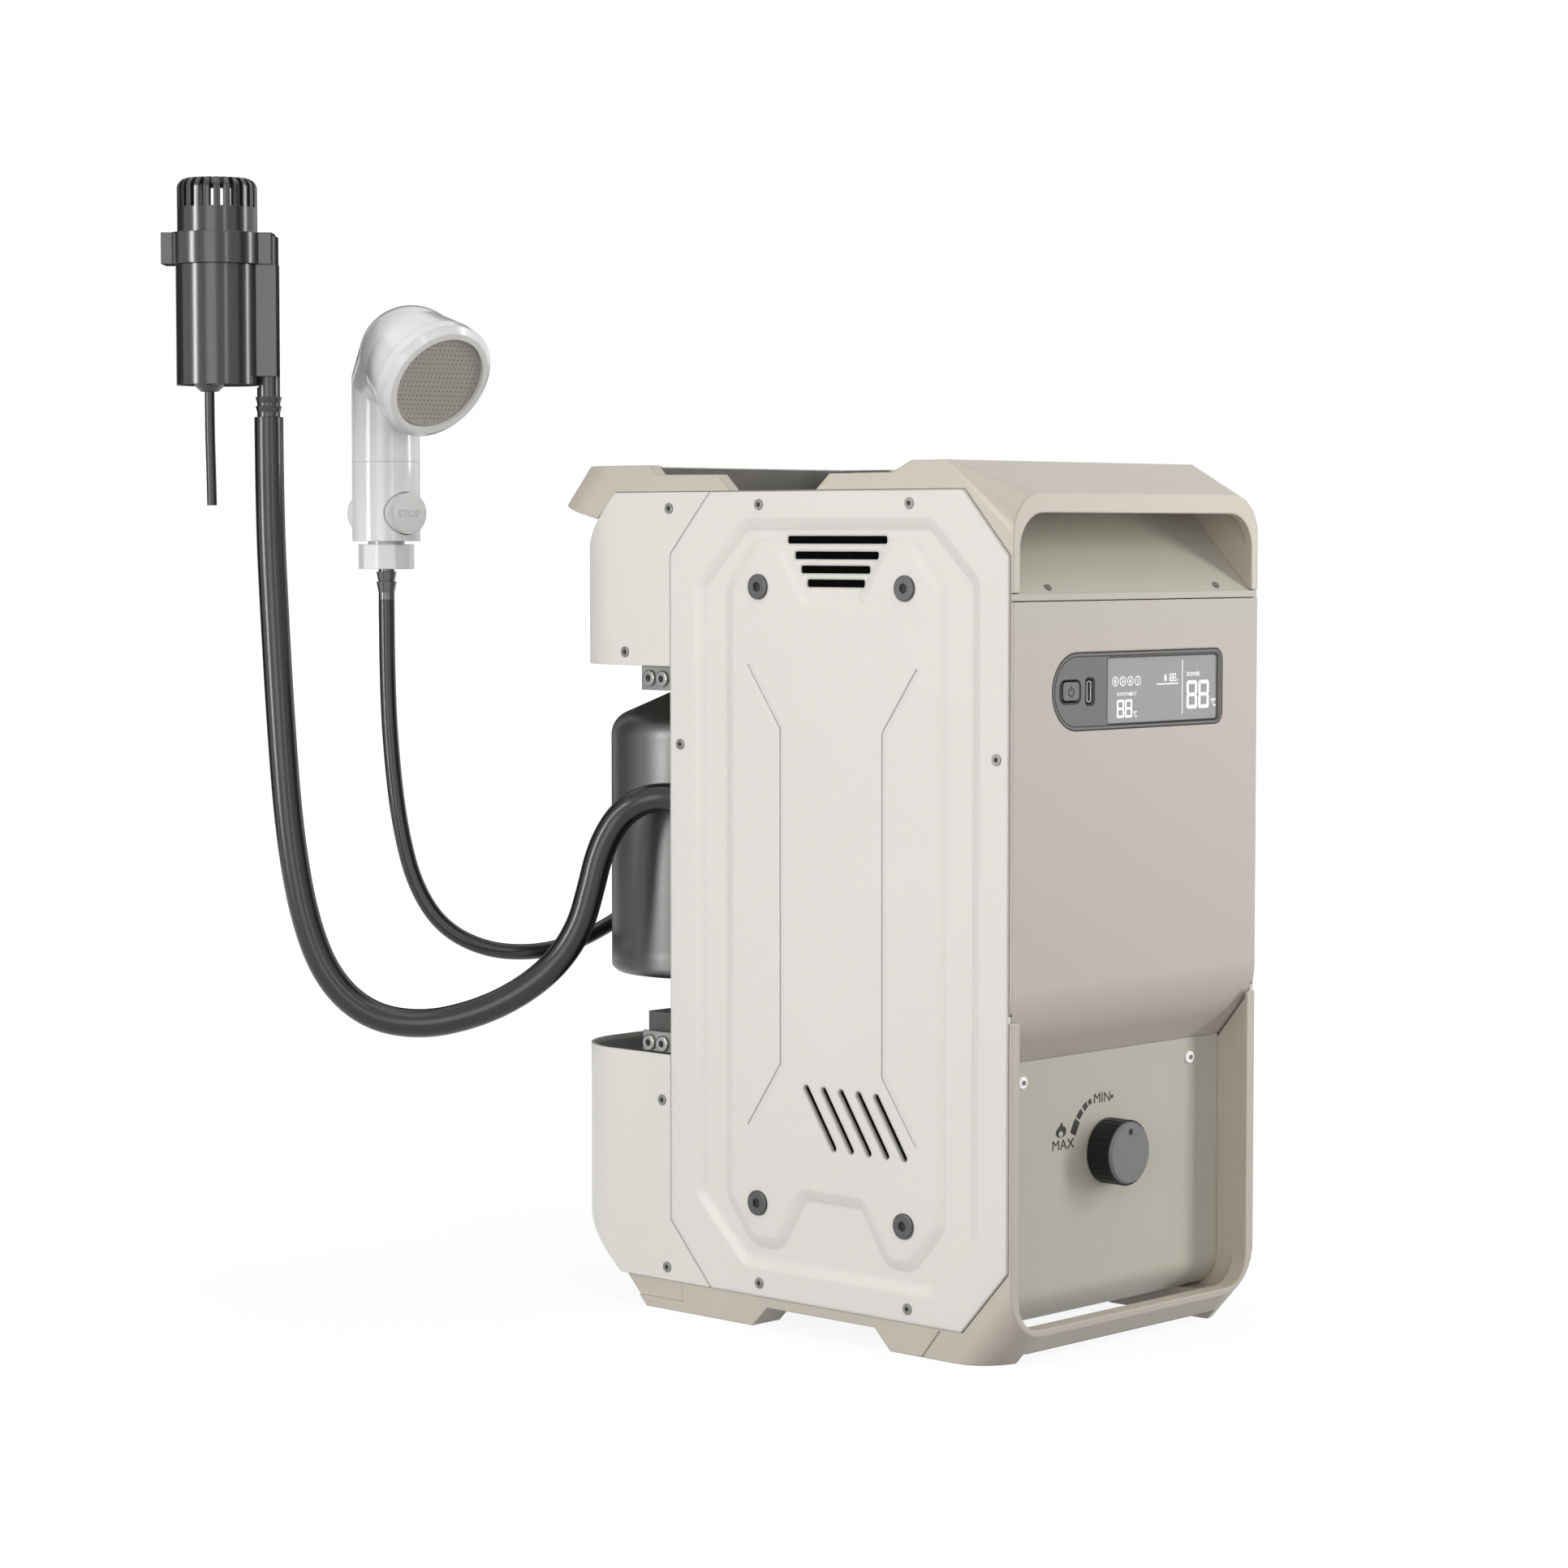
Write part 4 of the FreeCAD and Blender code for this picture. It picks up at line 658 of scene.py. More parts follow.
@dataclass(frozen=True)
class Lamp:
    """One rectangular lamp: where it stands, the point it faces, width and height, and watts."""

    name: str
    spot: Point
    aim: Point
    size: Flat
    power: float

    def build(self) -> None:
        """Put the lamp up."""
        data = bpy.data.lights.new(self.name, "AREA")
        data.shape = "RECTANGLE"
        data.size, data.size_y = self.size
        data.energy = self.power
        data.color = LAMP_TINT
        obj = linked(self.name, data)
        obj.location = self.spot
        obj.rotation_euler = (Vector(self.aim) - Vector(self.spot)).to_track_quat("-Z", "Y").to_euler()


@dataclass(frozen=True)
class Flag:
    """One dark card that only reflections show: where it stands and its width."""

    name: str
    spot: Point
    width: float
    tall: float = 1.6
    aim: Point = (-0.2, 0.22, 0.4)

    def build(self) -> None:
        """Put the card up."""
        shape = bmesh.new()
        turned = (Vector(self.aim) - Vector(self.spot)).to_track_quat("Z", "Y").to_matrix().to_4x4()
        place = Matrix.Translation(self.spot) @ turned
        corners = oblong(self.width, self.tall)
        shape.faces.new([shape.verts.new(place @ Vector((x, y, 0))) for x, y in corners])
        mesh = bpy.data.meshes.new(self.name)
        shape.to_mesh(mesh)
        shape.free()
        card = WARDROBE.wear(linked(self.name, mesh), FLAG_CLOTH)
        card.visible_camera = card.visible_diffuse = card.visible_shadow = card.visible_transmission = False
        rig.stage(card)


LAMP_TINT = (1, 0.985, 0.965)
LAMPS = (
    Lamp("left_softbox", (-1.75, 0.62, 0.24), (-0.05, 0.05, 0.16), (0.26, 1.5), 20),
    Lamp("left_card", (-1.61, -0.68, 0.3), (-0.1, 0.05, 0.14), (0.8, 1.3), 6.7),
    Lamp("front_strip", (-0.65, -1.22, 0.6), (-0.15, 0.2, 0.35), (0.06, 1.2), 2.0),
    Lamp("right_softbox", (1.5, -1.3, 0.8), (-0.05, 0, 0.3), (0.4, 1.5), 20),
    Lamp("top_softbox", (-0.15, -0.25, 2.0), (0, 0, 0.2), (1.5, 1.5), 6.5),
)
FLAGS = (
    Flag("left_flag", (-0.35, 1.45, 0.5), 1.1),
    Flag("back_flag", (0.75, 1.15, 0.5), 1.0),
    Flag("right_flag", (0.55, -0.95, 0.5), 0.7),
)


@dataclass
class Studio:
    """Camera, backdrop and floor, and the order in which the lamps and flags go up."""

    eye: Point = (-1.405904, -1.248024, 0.365917)
    yaw: float = 46.693
    pitch: float = 3.572
    lens: float = 91.13
    sky: float = 0.36
    paper: float = 0.3
    shown_paper: float = 0.75
    lift: float = 0.82
    brightness: float = 1.1
    sky_tint: Point = (1, 0.99, 0.975)
    floor_reach: float = 12.0
    floor_drop: float = 0.0002
    fade: Flat = (0.3, 1.1)

    def build(self) -> None:
        """Make everything that isn't part of the heater."""
        self.camera()
        self.world()
        self.floor()
        for lamp in LAMPS:
            lamp.build()
        for flag in FLAGS:
            flag.build()

    def camera(self) -> None:
        """Look at the left front corner from a little above."""
        data = bpy.data.cameras.new("camera")
        data.lens = self.lens
        data.sensor_width = 36
        data.clip_end = 50
        obj = linked("camera", data)
        obj.location = self.eye
        obj.rotation_euler = (math.radians(90 - self.pitch), 0, math.radians(-self.yaw))
        bpy.context.scene.camera = obj
        bpy.context.scene.view_settings.view_transform = "Standard"

    def seen(self, tree: Tree) -> Socket:
        """Tell rays that show the backdrop directly, in gloss or through glass, from those that light.

        Args:
            tree: the tree that needs to know.

        Returns:
            A value that is 1 for such rays and 0 for the others.
        """
        path = tree.node("ShaderNodeLightPath").outputs
        gloss = tree.combined("MAXIMUM", path["Is Camera Ray"], path["Is Glossy Ray"])
        return tree.combined("MAXIMUM", gloss, path["Is Transmission Ray"])

    def world(self) -> None:
        """A white backdrop and a soft, even sky."""
        world = bpy.data.worlds.new("studio")
        bpy.context.scene.world = world
        world.use_nodes = True
        tree = Tree(world.node_tree)
        world.node_tree.nodes.clear()
        lit = tree.node("ShaderNodeBackground", in_Strength=self.sky, in_Color=(*self.sky_tint, 1))
        shown = tree.node("ShaderNodeBackground", in_Strength=1.0, in_Color=(1, 1, 1, 1))
        mix = tree.node("ShaderNodeMixShader")
        out = tree.node("ShaderNodeOutputWorld")
        tree.link(self.seen(tree), mix.inputs[0])
        tree.link(lit.outputs[0], mix.inputs[1])
        tree.link(shown.outputs[0], mix.inputs[2])
        tree.link(mix.outputs[0], out.inputs[0])

    def floor(self) -> None:
        """A white paper floor: it keeps a soft shadow round the heater and fades into the backdrop."""
        shape = bmesh.new()
        bmesh.ops.create_grid(shape, x_segments=1, y_segments=1, size=self.floor_reach)
        mesh = bpy.data.meshes.new("floor")
        shape.to_mesh(mesh)
        shape.free()
        obj = linked("floor", mesh)
        obj.location.z = -self.floor_drop
        material = bpy.data.materials.new("paper_floor")
        material.use_nodes = True
        tree = Tree(material.node_tree)
        paper = material.node_tree.nodes["Principled BSDF"]
        shades = [(tone, tone, tone) for tone in (self.paper, self.shown_paper)]
        tree.fill(paper, Base_Color=tree.mixed(self.seen(tree), *shades), Roughness=0.9,
                  Specular_IOR_Level=0.1)
        white = tree.node("ShaderNodeEmission", in_Strength=self.brightness, in_Color=(1, 1, 1, 1))
        spot = tree.node("ShaderNodeTexCoord").outputs["Object"]
        far = tree.node("ShaderNodeVectorMath", operation="LENGTH")
        tree.link(spot, far.inputs[0])
        share = tree.mapped(far.outputs["Value"], self.lift, 1, *self.fade)
        mix = tree.node("ShaderNodeMixShader")
        tree.link(tree.combined("MULTIPLY", self.seen(tree), share), mix.inputs[0])
        tree.link(paper.outputs[0], mix.inputs[1])
        tree.link(white.outputs[0], mix.inputs[2])
        tree.link(mix.outputs[0], material.node_tree.nodes["Material Output"].inputs["Surface"])
        mesh.materials.append(material)
        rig.stage(obj)


# ---------------- hoses

@dataclass
class Hose:
    """One hose or lead: a smooth line of known length."""

    name: str
    diameter: float
    length: float
    far_end: str
    carries: tuple[str, ...]
    route: tuple[Point, ...]

    def build(self) -> bpy.types.Object:
        """Returns:
            The hose.
        """
        curve = bpy.data.curves.new(f"{self.name}_line", "CURVE")
        curve.dimensions = "3D"
        curve.resolution_u = 16
        curve.bevel_depth = self.diameter / 2
        curve.bevel_resolution = 8
        curve.use_fill_caps = True
        spline = curve.splines.new("NURBS")
        spline.points.add(len(self.route) - 1)
        for point, place in zip(spline.points, self.route):
            point.co = (*place, 1)
        spline.order_u = 3
        spline.use_endpoint_u = True
        obj = WARDROBE.wear(linked(f"{self.name}_rubber", curve), HOSE_RUBBER)
        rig.ride(obj, "heater")
        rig.slot(obj, "hose_black")
        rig.replaces(obj, self.name)
        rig.cord(obj, exit=self.route[0], length=self.length, diameter=self.diameter, far_end=self.far_end,
                stiffness="medium", lay="hanging", with_pieces=list(self.carries))
        LOG.info("%s: %.0f mm long", obj.name, self.length / MM)
        return obj


ON_PUMP_HOSE = ("pump_outlet", "pump_body", "pump_collar", "pump_filter_cap", "pump_motor", "pump_impeller")
ON_SHOWER_HOSE = ("hose_barb", "hose_nut", "shower_handle", "shower_head", "shower_ring", "spray_plate",
                  "stop_button")

HOSES = (
    Hose("pump_hose", 0.0136, 0.5146, "tool", ON_PUMP_HOSE, (
        (-0.075, 0.060, 0.2415), (-0.075, 0.070, 0.2415), (-0.079, 0.080, 0.243), (-0.0855, 0.089, 0.241),
        (-0.090, 0.098, 0.2345), (-0.094, 0.103, 0.2255), (-0.0975, 0.1065, 0.214), (-0.100, 0.109, 0.199),
        (-0.1035, 0.113, 0.180), (-0.111, 0.121, 0.163), (-0.123, 0.133, 0.149), (-0.138, 0.149, 0.1385),
        (-0.1555, 0.168, 0.133), (-0.173, 0.186, 0.1375), (-0.186, 0.200, 0.155), (-0.1935, 0.2085, 0.184),
        (-0.198, 0.2135, 0.225), (-0.2005, 0.216, 0.274), (-0.2023, 0.2179, 0.326), (-0.2038, 0.2193, 0.376),
        (-0.2038, 0.2193, 0.422))),
    Hose("shower_hose", 0.0078, 0.416, "tool", ON_SHOWER_HOSE, (
        (0.052, 0.062, 0.205), (0.052, 0.084, 0.205), (0.048, 0.110, 0.204), (0.036, 0.134, 0.200),
        (0.018, 0.153, 0.194), (-0.004, 0.164, 0.186), (-0.028, 0.169, 0.173), (-0.052, 0.171, 0.1645),
        (-0.074, 0.177, 0.161), (-0.094, 0.190, 0.163), (-0.109, 0.205, 0.174), (-0.118, 0.215, 0.195),
        (-0.123, 0.220, 0.224), (-0.1255, 0.223, 0.258), (-0.1266, 0.2246, 0.296), (-0.1266, 0.2246, 0.335))),
    Hose("pump_cord", 0.0046, 0.0535, "bare", (), (
        (-0.2229, 0.2396, 0.434), (-0.2229, 0.2396, 0.416), (-0.2226, 0.2393, 0.398),
        (-0.2224, 0.2391, 0.3805))),
)


# ---------------- casing

@dataclass
class Casing:
    """Panels, frames, covers, screws and what stands inside them.

    Screws are given by their place along the side and their height, the painted shade in their sockets
    by its radius and how far out it lies, the painted shade sheets behind the vents by how far out they
    lie and their thickness, and vents by the rectangles that cover them. All are in millimetres.
    """

    small: tuple[Flat, ...] = ((9.1, 380.4), (-82.8, 380.5), (59.9, 268.8), (-133.7, 268.8), (8.9, 20.7),
                               (-82.6, 20.8), (67.1, 378.9), (96.6, 311.3), (72.3, 100), (69.2, 20.6))
    bolts: tuple[Flat, ...] = ((9.4, 342.8), (-80.3, 342.8), (9.7, 58.1), (-80.4, 57.9))
    plated: tuple[Flat, ...] = ((82.4, 299.2), (73.9, 299), (82.9, 126.2), (74.1, 126.2))
    small_socket: Flat = (1.15, 89.23)
    bolt_socket: Flat = (2.3, 89.52)
    plated_socket: Flat = (1.7, 87.08)
    # Painted shade sheets behind the vents: how far out they lie and their thickness.
    shade_sheet: Flat = (86.38, 0.1)
    vents: tuple[Box, ...] = ((-71.5, -4, 341.5, 368.2), (-84, -14, 82, 119))

    def build(self) -> None:
        """Dress every node of the case."""
        dress = WARDROBE.dress
        dress(WARM_WHITE_PAINT, "left_side_panel", "right_side_panel")
        dress(CREAM_PAINT, "rear_upper_cover", "rear_lower_cover")
        dress(CHAMPAGNE_PAINT, "front_panel")
        dress(CHAMPAGNE_CASTING, "top_frame", "base_frame")
        dress(CHAMPAGNE_SHEET, "recess_panel", "hood_scoop")
        dress(ZINC_SHEET, "upper_bay_bracket", "lower_bay_bracket", "burner")
        dress(DARK_SHEET, "chassis")
        dress(SCORCHED_STEEL, "flue_hood", "combustion_chamber")
        dress(SCREW_ZINC, "panel_screws", "front_screws")
        dress(BOLT_GREY, "panel_bolts")
        dress(BRIGHT_SCREW, "bracket_screws", "pump_motor")
        dress(WASHER_NYLON, "nylon_washers", "ignition_electrode", "pump_impeller")
        dress(WELL_PAINT, "exhaust_well", "exhaust_grille")
        dress(BRIGHT_COPPER, "heat_exchanger", "water_coil", "outlet_pipe")
        dress(TURNED_BRASS, "gas_regulator", "water_inlet_fitting", "water_outlet_fitting")
        dress(CAST_ALUMINIUM, "gas_valve")
        dress(DRAWN_ALUMINIUM, "gas_pipe", "burner_supply_pipe")
        dress(BOARD_GREEN, "control_board")
        dress(CELL_WRAP, "battery_pack")
        dress(MATT_BLACK, "flow_switch", "usb_socket")
        dress(BLOCK_GREY, "fitting_block")
        dress(BOTTLE_ENAMEL, "gas_bottle")
        self.socket_shades()
        self.vent_shades()
        LOG.info("case dressed")

    def on_side(self, side: int, across: float, up: float, out: float) -> Matrix:
        """Place a drawing that lies in XY on one side of the case, millimetres in, metres out."""
        facing = Vector((side, 0, 0)).to_track_quat("Z", "Y").to_matrix().to_4x4()
        return Matrix.Translation(Vector((side * out, across, up)) * MM) @ facing @ Matrix.Scale(MM, 4)

    def socket_shades(self) -> None:
        """Painted shade: black discs on the floors of the screws' hexagonal sockets, where shade falls."""
        shape = bmesh.new()
        for spots, (size, out) in ((self.small, self.small_socket), (self.bolts, self.bolt_socket),
                                   (self.plated, self.plated_socket)):
            for side in (-1, 1):
                for across, up in spots:
                    add_plate(shape, arc((0, 0), size, 0, 300, 5), 0.02, self.on_side(side, across, up, out))
        finished("socket_shade_discs", shape, GROOVE_SHADE, "heater", "dark_screw")

    def vent_shades(self) -> None:
        """Painted shade: black sheets behind the vents and the louvres of both sides, where only shade shows through.
        """
        shape = bmesh.new()
        out, thick = self.shade_sheet
        for side in (-1, 1):
            for near, far, low, high in self.vents:
                middle = self.on_side(side, (near + far) / 2, (low + high) / 2, out)
                size = (far - near, high - low)
                add_plate(shape, oblong(*(size if self.up_axis(middle) else reversed(size))), thick, middle)
        finished("vent_shade_sheets", shape, VENT_SHADE_BLACK, "heater", "dark_plastic")

    def up_axis(self, place: Matrix) -> bool:
        """Tell whether a placed drawing's second axis stands upright."""
        return abs((place.to_3x3() @ Vector((0, 1, 0))).normalized().z) > 0.5


# ---------------- front controls

@dataclass
class Display:
    """The control strip with its lit figures.

    Drawings are in millimetres, across and up. A digit is left edge, bottom, width, height and lit
    segments, a frame two rectangles with their corner radii, and a label its letters, middle, height,
    width and how far its strokes swell.
    """

    glass: float = 141.34
    bezel: float = 142.0
    button: float = 142.4
    socket: float = 139.2
    lit: float = 0.06
    line: float = 0.05
    mark: float = 0.08
    stroke: float = 0.21
    rings: tuple[float, ...] = (-16.3, -11.0, -5.6, -0.2)
    ring_height: float = 301.2
    ring_radii: Flat = (2.2, 1.72)
    power: Flat = (-48.6, 297.4)
    power_radii: Flat = (2.15, 1.55)
    digits: tuple[tuple[float, float, float, float, str], ...] = (
        (35.6, 287.4, 7.9, 12.9, "abcdefg"), (44.4, 287.4, 7.9, 12.9, "abcdefg"),
        (-15.2, 284.8, 5.3, 8.2, "abcdefg"), (-9.4, 284.8, 5.3, 8.2, "abcdefg"),
        (21.3, 300.2, 2.0, 3.6, "bc"), (23.5, 300.2, 2.0, 3.6, "abcdefg"), (25.7, 300.2, 2.0, 3.6, "abcdefg"))
    rules: tuple[Box, ...] = ((32.2, 285, 32.75, 309.7), (13.6, 298.9, 29.6, 299.5))
    frames: tuple[tuple[Box, float, Box, float], ...] = (
        ((-23.1, 281.9, 58.6, 312.4), 2.2, (-22.7, 282.3, 58.2, 312), 1.8),
        ((-56.3, 291.9, -41.1, 303), 3.6, (-54.95, 292.75, -42.25, 302.65), 2.5),
        ((-38.5, 290.9, -31.5, 303.7), 2.2, (-37.9, 291.5, -32.1, 303.1), 1.6))
    labels: tuple[tuple[str, float, float, float, float, float], ...] = (
        ("°C", 55.7, 289.9, 4.0, 3.6, 0.022), ("°C", -2.2, 286.3, 3.0, 2.9, 0.022),
        ("m", 28.8, 300.7, 0.9, 1.5, 0.006), ("SHOWER", 40.5, 303.2, 2.0, 9.8, 0.022),
        ("ENVIRONMENT", -8.0, 295.4, 1.7, 14.0, 0.006))

    def build(self) -> None:
        """Dress the strip and make what shows on it."""
        WARDROBE.dress(BEZEL_GREY, "display_bezel")
        WARDROBE.dress(SCREEN_GREY, "lcd_screen")
        WARDROBE.dress(BUTTON_GREY, "power_button")
        self.figures()
        self.outlines()
        self.power_mark()

    def segment_digit(self, shape: Shape, left: float, low: float, width: float, height: float,
                      shown: str) -> None:
        """Add one seven-segment figure.

        Args:
            shape: where it goes.
            left: its left edge.
            low: its bottom.
            width: its width.
            height: its height.
            shown: letters of the segments that show.
        """
        place = upright(0, 0, self.glass)
        bar = width * self.stroke
        gap, tip = bar * 0.1, bar * 0.4
        middle = low + height / 2
        right, high = left + width, low + height
        flat_bars = {"a": high - bar, "g": middle - bar / 2, "d": low}
        up_bars = {"f": (left, middle, high), "b": (right - bar, middle, high),
                   "e": (left, low, middle), "c": (right - bar, low, middle)}
        for name, base in flat_bars.items():
            if name in shown:
                inset, nose, spine, top = bar * 0.55, gap + bar * 0.12, base + bar / 2, base + bar
                outline = [(left + inset, base), (right - inset, base), (right - nose, spine),
                           (right - inset, top), (left + inset, top), (left + nose, spine)]
                add_plate(shape, outline, self.lit, place)
        for name, (side, base, top) in up_bars.items():
            if name in shown:
                near, far, spine = base + gap, top - gap, side + bar / 2
                outline = [(side, near + tip), (spine, near), (side + bar, near + tip),
                           (side + bar, far - tip), (spine, far), (side, far - tip)]
                add_plate(shape, outline, self.lit, place)

    def figures(self) -> None:
        """The two temperatures, the small counter, the rules, the four status rings and the labels."""
        shape = bmesh.new()
        place = upright(0, 0, self.glass)
        for digit in self.digits:
            self.segment_digit(shape, *digit)
        for rule in self.rules:
            add_plate(shape, rounded(*rule, (0.25,) * 4, 3), self.lit, place)
        for centre in self.rings:
            outer, inner = (arc((centre, self.ring_height), radius, 0, 352, 44) for radius in self.ring_radii)
            add_band(shape, outer, inner, self.lit, place)
        self.status_marks(shape, place)
        for label, across, up, height, width, bold in self.labels:
            lettering(label, height, upright(across, up, self.glass), shape, self.lit, width, bold)
        finished("display_figures", shape, SYMBOL_LIGHT, "heater", "lcd")

    def outlines(self) -> None:
        """Painted shade: dark lines in the seams round the strip, its window, its button and its socket and in the
        groove inside the strip's edge; and the socket's shell.
        """
        shape = bmesh.new()
        place = upright(0, 0, self.bezel)

        def edge(inset: float) -> list[Flat]:
            """The strip's outline, drawn in by an inset."""
            radii = (17.2 - inset, 5.3 - inset, 5.3 - inset, 17.2 - inset)
            return rounded(-61.3 + inset, 280.1 + inset, 61.6 - inset, 314.6 - inset, radii)

        # Painted shade in the seam round the strip and in the groove inside its edge.
        add_band(shape, edge(0), edge(0.4), self.line, place)
        add_band(shape, edge(1.5), edge(1.95), self.line, place)
        for outer, outer_radius, inner, inner_radius in self.frames:
            add_band(shape, rounded(*outer, (outer_radius,) * 4), rounded(*inner, (inner_radius,) * 4),
                     self.line, place)
        finished("display_outlines", shape, GROOVE_SHADE, "heater", "dark_plastic")
        shell = bmesh.new()
        add_band(shell, rounded(-36.5, 292.4, -33.5, 302.1, (1.45,) * 4),
                 rounded(-36.1, 292.8, -33.9, 301.7, (1.05,) * 4), 2.2, upright(0, 0, self.socket))
        finished("usb_shell", shell, CAST_ALUMINIUM, "heater", "bright_screw")

    def status_marks(self, shape: Shape, place: Matrix) -> None:
        """Add a flame, a fan, a drop and a bar inside the four rings, and the counter's flame.

        Args:
            shape: where they go.
            place: how the drawing is placed.
        """
        flame = ((0, -1.3), (0.7, -0.5), (0.5, 0.4), (0, 1.3), (-0.6, 0.3), (-0.7, -0.5))
        for across, up, size in ((self.rings[0], self.ring_height, 1.0), (20.0, 302.0, 1.45)):
            add_plate(shape, [(across + x * size, up + y * size) for x, y in flame], self.lit, place)
        fan = (self.rings[1], self.ring_height)
        for turn in range(3):
            start = 90 + 120 * turn
            add_plate(shape, [fan, *arc(fan, 1.2, start, start + 50, 4)], self.lit, place)
        drop, bar = self.rings[2:]
        add_plate(shape, [*arc((drop, 300.9), 0.75, -215, 35, 10), (drop, 302.5)], self.lit, place)
        add_plate(shape, rounded(bar - 0.25, 300.1, bar + 0.25, 302.3, (0.2,) * 4, 3), self.lit, place)

    def power_mark(self) -> None:
        """The broken ring and bar on the power button."""
        shape = bmesh.new()
        place = upright(0, 0, self.button)
        outer, inner = (arc(self.power, radius, 120, 420, 30) for radius in self.power_radii)
        add_plate(shape, outer + inner[::-1], self.mark, place)
        add_plate(shape, rounded(-48.9, 297.8, -48.3, 300.2, (0.2,) * 4, 3), self.mark, place)
        finished("power_mark", shape, INK_AND_HOLE_SHADE, "power_button", "dark_plastic")


@dataclass
class Dial:
    """The gas knob and the print round it.

    An arc of the scale is start, sweep, inner and outer radius, and a label its letters, middle and width.
    """

    face: float = 125.0
    height: float = 87.0
    ink: float = 0.08
    cap: float = 138.1
    # Painted shade in the knob's dimple: how far above the knob's middle it lies, and its radius.
    mark: Flat = (9.6, 1.15)
    dot: Flat = (3.3, 111.3)
    dot_radius: float = 0.9
    labels: tuple[tuple[str, float, float, float], ...] = (
        ("MIN", -3.85, 111.6, 11.7), ("MAX", -31.4, 93.1, 15.5))
    label_height: float = 4.5
    flame_place: Flat = (-33.2, 99.7)
    flame_stretch: Flat = (1.45, 1.08)
    arcs: tuple[Box, ...] = (
        (26, 4.8, 25.4, 27.8), (33, 6.8, 25.5, 28.4), (42.5, 9, 25.6, 28.5), (53.5, 14.5, 24.6, 28.7))

    def build(self) -> None:
        """Dress the knob and print the scale."""
        WARDROBE.dress(KNOB_BLACK, "gas_knob")
        WARDROBE.dress(KNOB_FACE, "knob_cap")
        shape = bmesh.new()
        place = upright(0, 0, self.face)
        for label, across, up, width in self.labels:
            lettering(label, self.label_height, upright(across, up, self.face), shape, self.ink, width)
        add_plate(shape, arc(self.dot, self.dot_radius, 0, 345, 23), self.ink, place)
        for start, sweep, near, far in self.arcs:
            outer = arc((0, self.height), far, 90 + start, 90 + start + sweep, 6)
            inner = arc((0, self.height), near, 90 + start, 90 + start + sweep, 6)
            add_plate(shape, outer + inner[::-1], self.ink, place)
        stretch = Matrix.Diagonal((*self.flame_stretch, 1, 1))
        self.flame(shape, upright(*self.flame_place, self.face) @ stretch)
        finished("dial_print", shape, INK_AND_HOLE_SHADE, "heater", "dark_plastic")
        # Painted shade: a black disc in the knob's dimple, where shade falls.
        mark = bmesh.new()
        away, radius = self.mark
        add_plate(mark, arc((0, self.height + away), radius, 0, 345, 23), 0.06, upright(0, 0, self.cap))
        finished("knob_dimple_shade", mark, GROOVE_SHADE, "knob", "dark_plastic")

    def flame(self, shape: Shape, place: Matrix) -> None:
        """Add a small flame, drawn as a ring between two teardrops.

        Args:
            shape: where it goes.
            place: how the drawing is placed.
        """
        outer = [(-0.2, -3.1), (1.6, -2.7), (2.6, -1.3), (2.5, 0.3), (1.7, 1.5), (1.3, 0.9), (0.9, 2.2),
                 (0.0, 3.4), (-0.3, 2.0), (-1.4, 1.0), (-2.4, -0.2), (-2.5, -1.5), (-1.6, -2.8)]
        inner = [(-0.1, -2.8), (0.7, -2.7), (1.2, -2.1), (1.2, -1.5), (0.8, -0.9), (0.6, -0.9), (0.4, -0.5),
                 (0.1, 0.1), (-0.2, -0.4), (-0.7, -0.8), (-1.1, -1.3), (-1.1, -1.9), (-0.7, -2.6)]
        add_band(shape, outer, inner, self.ink, place)


# ---------------- shower and pump

@dataclass
class Shower:
    """The handset, its button and its spray face."""

    spot: Point = (-126.6, 224.6, 0.0)
    turn: float = -5.0
    face: Point = (0.0, -0.8634, -0.5045)
    head: Point = (0, -21.9, 451.6)
    face_away: float = 24.12
    button: Point = (0, -19.2, 377)

    def place(self) -> Matrix:
        """Where the handset's own drawing goes."""
        return (Matrix.Translation(Vector(self.spot) * MM) @ Matrix.Rotation(math.radians(self.turn), 4, "Z")
                @ Matrix.Scale(MM, 4))

    def build(self) -> None:
        """Dress the handset and add its button's letters and its spray holes."""
        WARDROBE.dress(WHITE_GLOSS, "shower_handle", "shower_head", "shower_ring", "stop_button", "hose_nut")
        WARDROBE.dress(SPRAY_GREY, "spray_plate")
        WARDROBE.dress(BARB_METAL, "hose_barb")
        shape = bmesh.new()
        front = self.place() @ Matrix.Translation(self.button) @ Matrix.Rotation(math.radians(90), 4, "X")
        lettering("STOP", 3.5, front, shape, 0.35, 13.0)
        finished("stop_letters", shape, WHITE_GLOSS, "stop_button", "white_plastic", 30)
        self.holes()

    def holes(self) -> None:
        """Painted shade: black discs in rows over the face where the spray holes' shade shows, laid out by a node
        tree.
        """
        axis = Vector(self.face).normalized()
        centre = Vector(self.head) + axis * self.face_away
        turned = axis.to_track_quat("Z", "Y").to_matrix().to_4x4()
        place = self.place() @ Matrix.Translation(centre) @ turned
        pattern = HolePattern(rows=9, spacing=2.45, radius=0.32, depth=0.05)
        mesh = pattern.mesh("spray_holes")
        mesh.transform(place)
        obj = WARDROBE.wear(linked("spray_holes", mesh), INK_AND_HOLE_SHADE)
        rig.ride(obj, "heater")
        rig.slot(obj, "dark_plastic")
        LOG.info("spray_holes: %d faces", len(mesh.polygons))


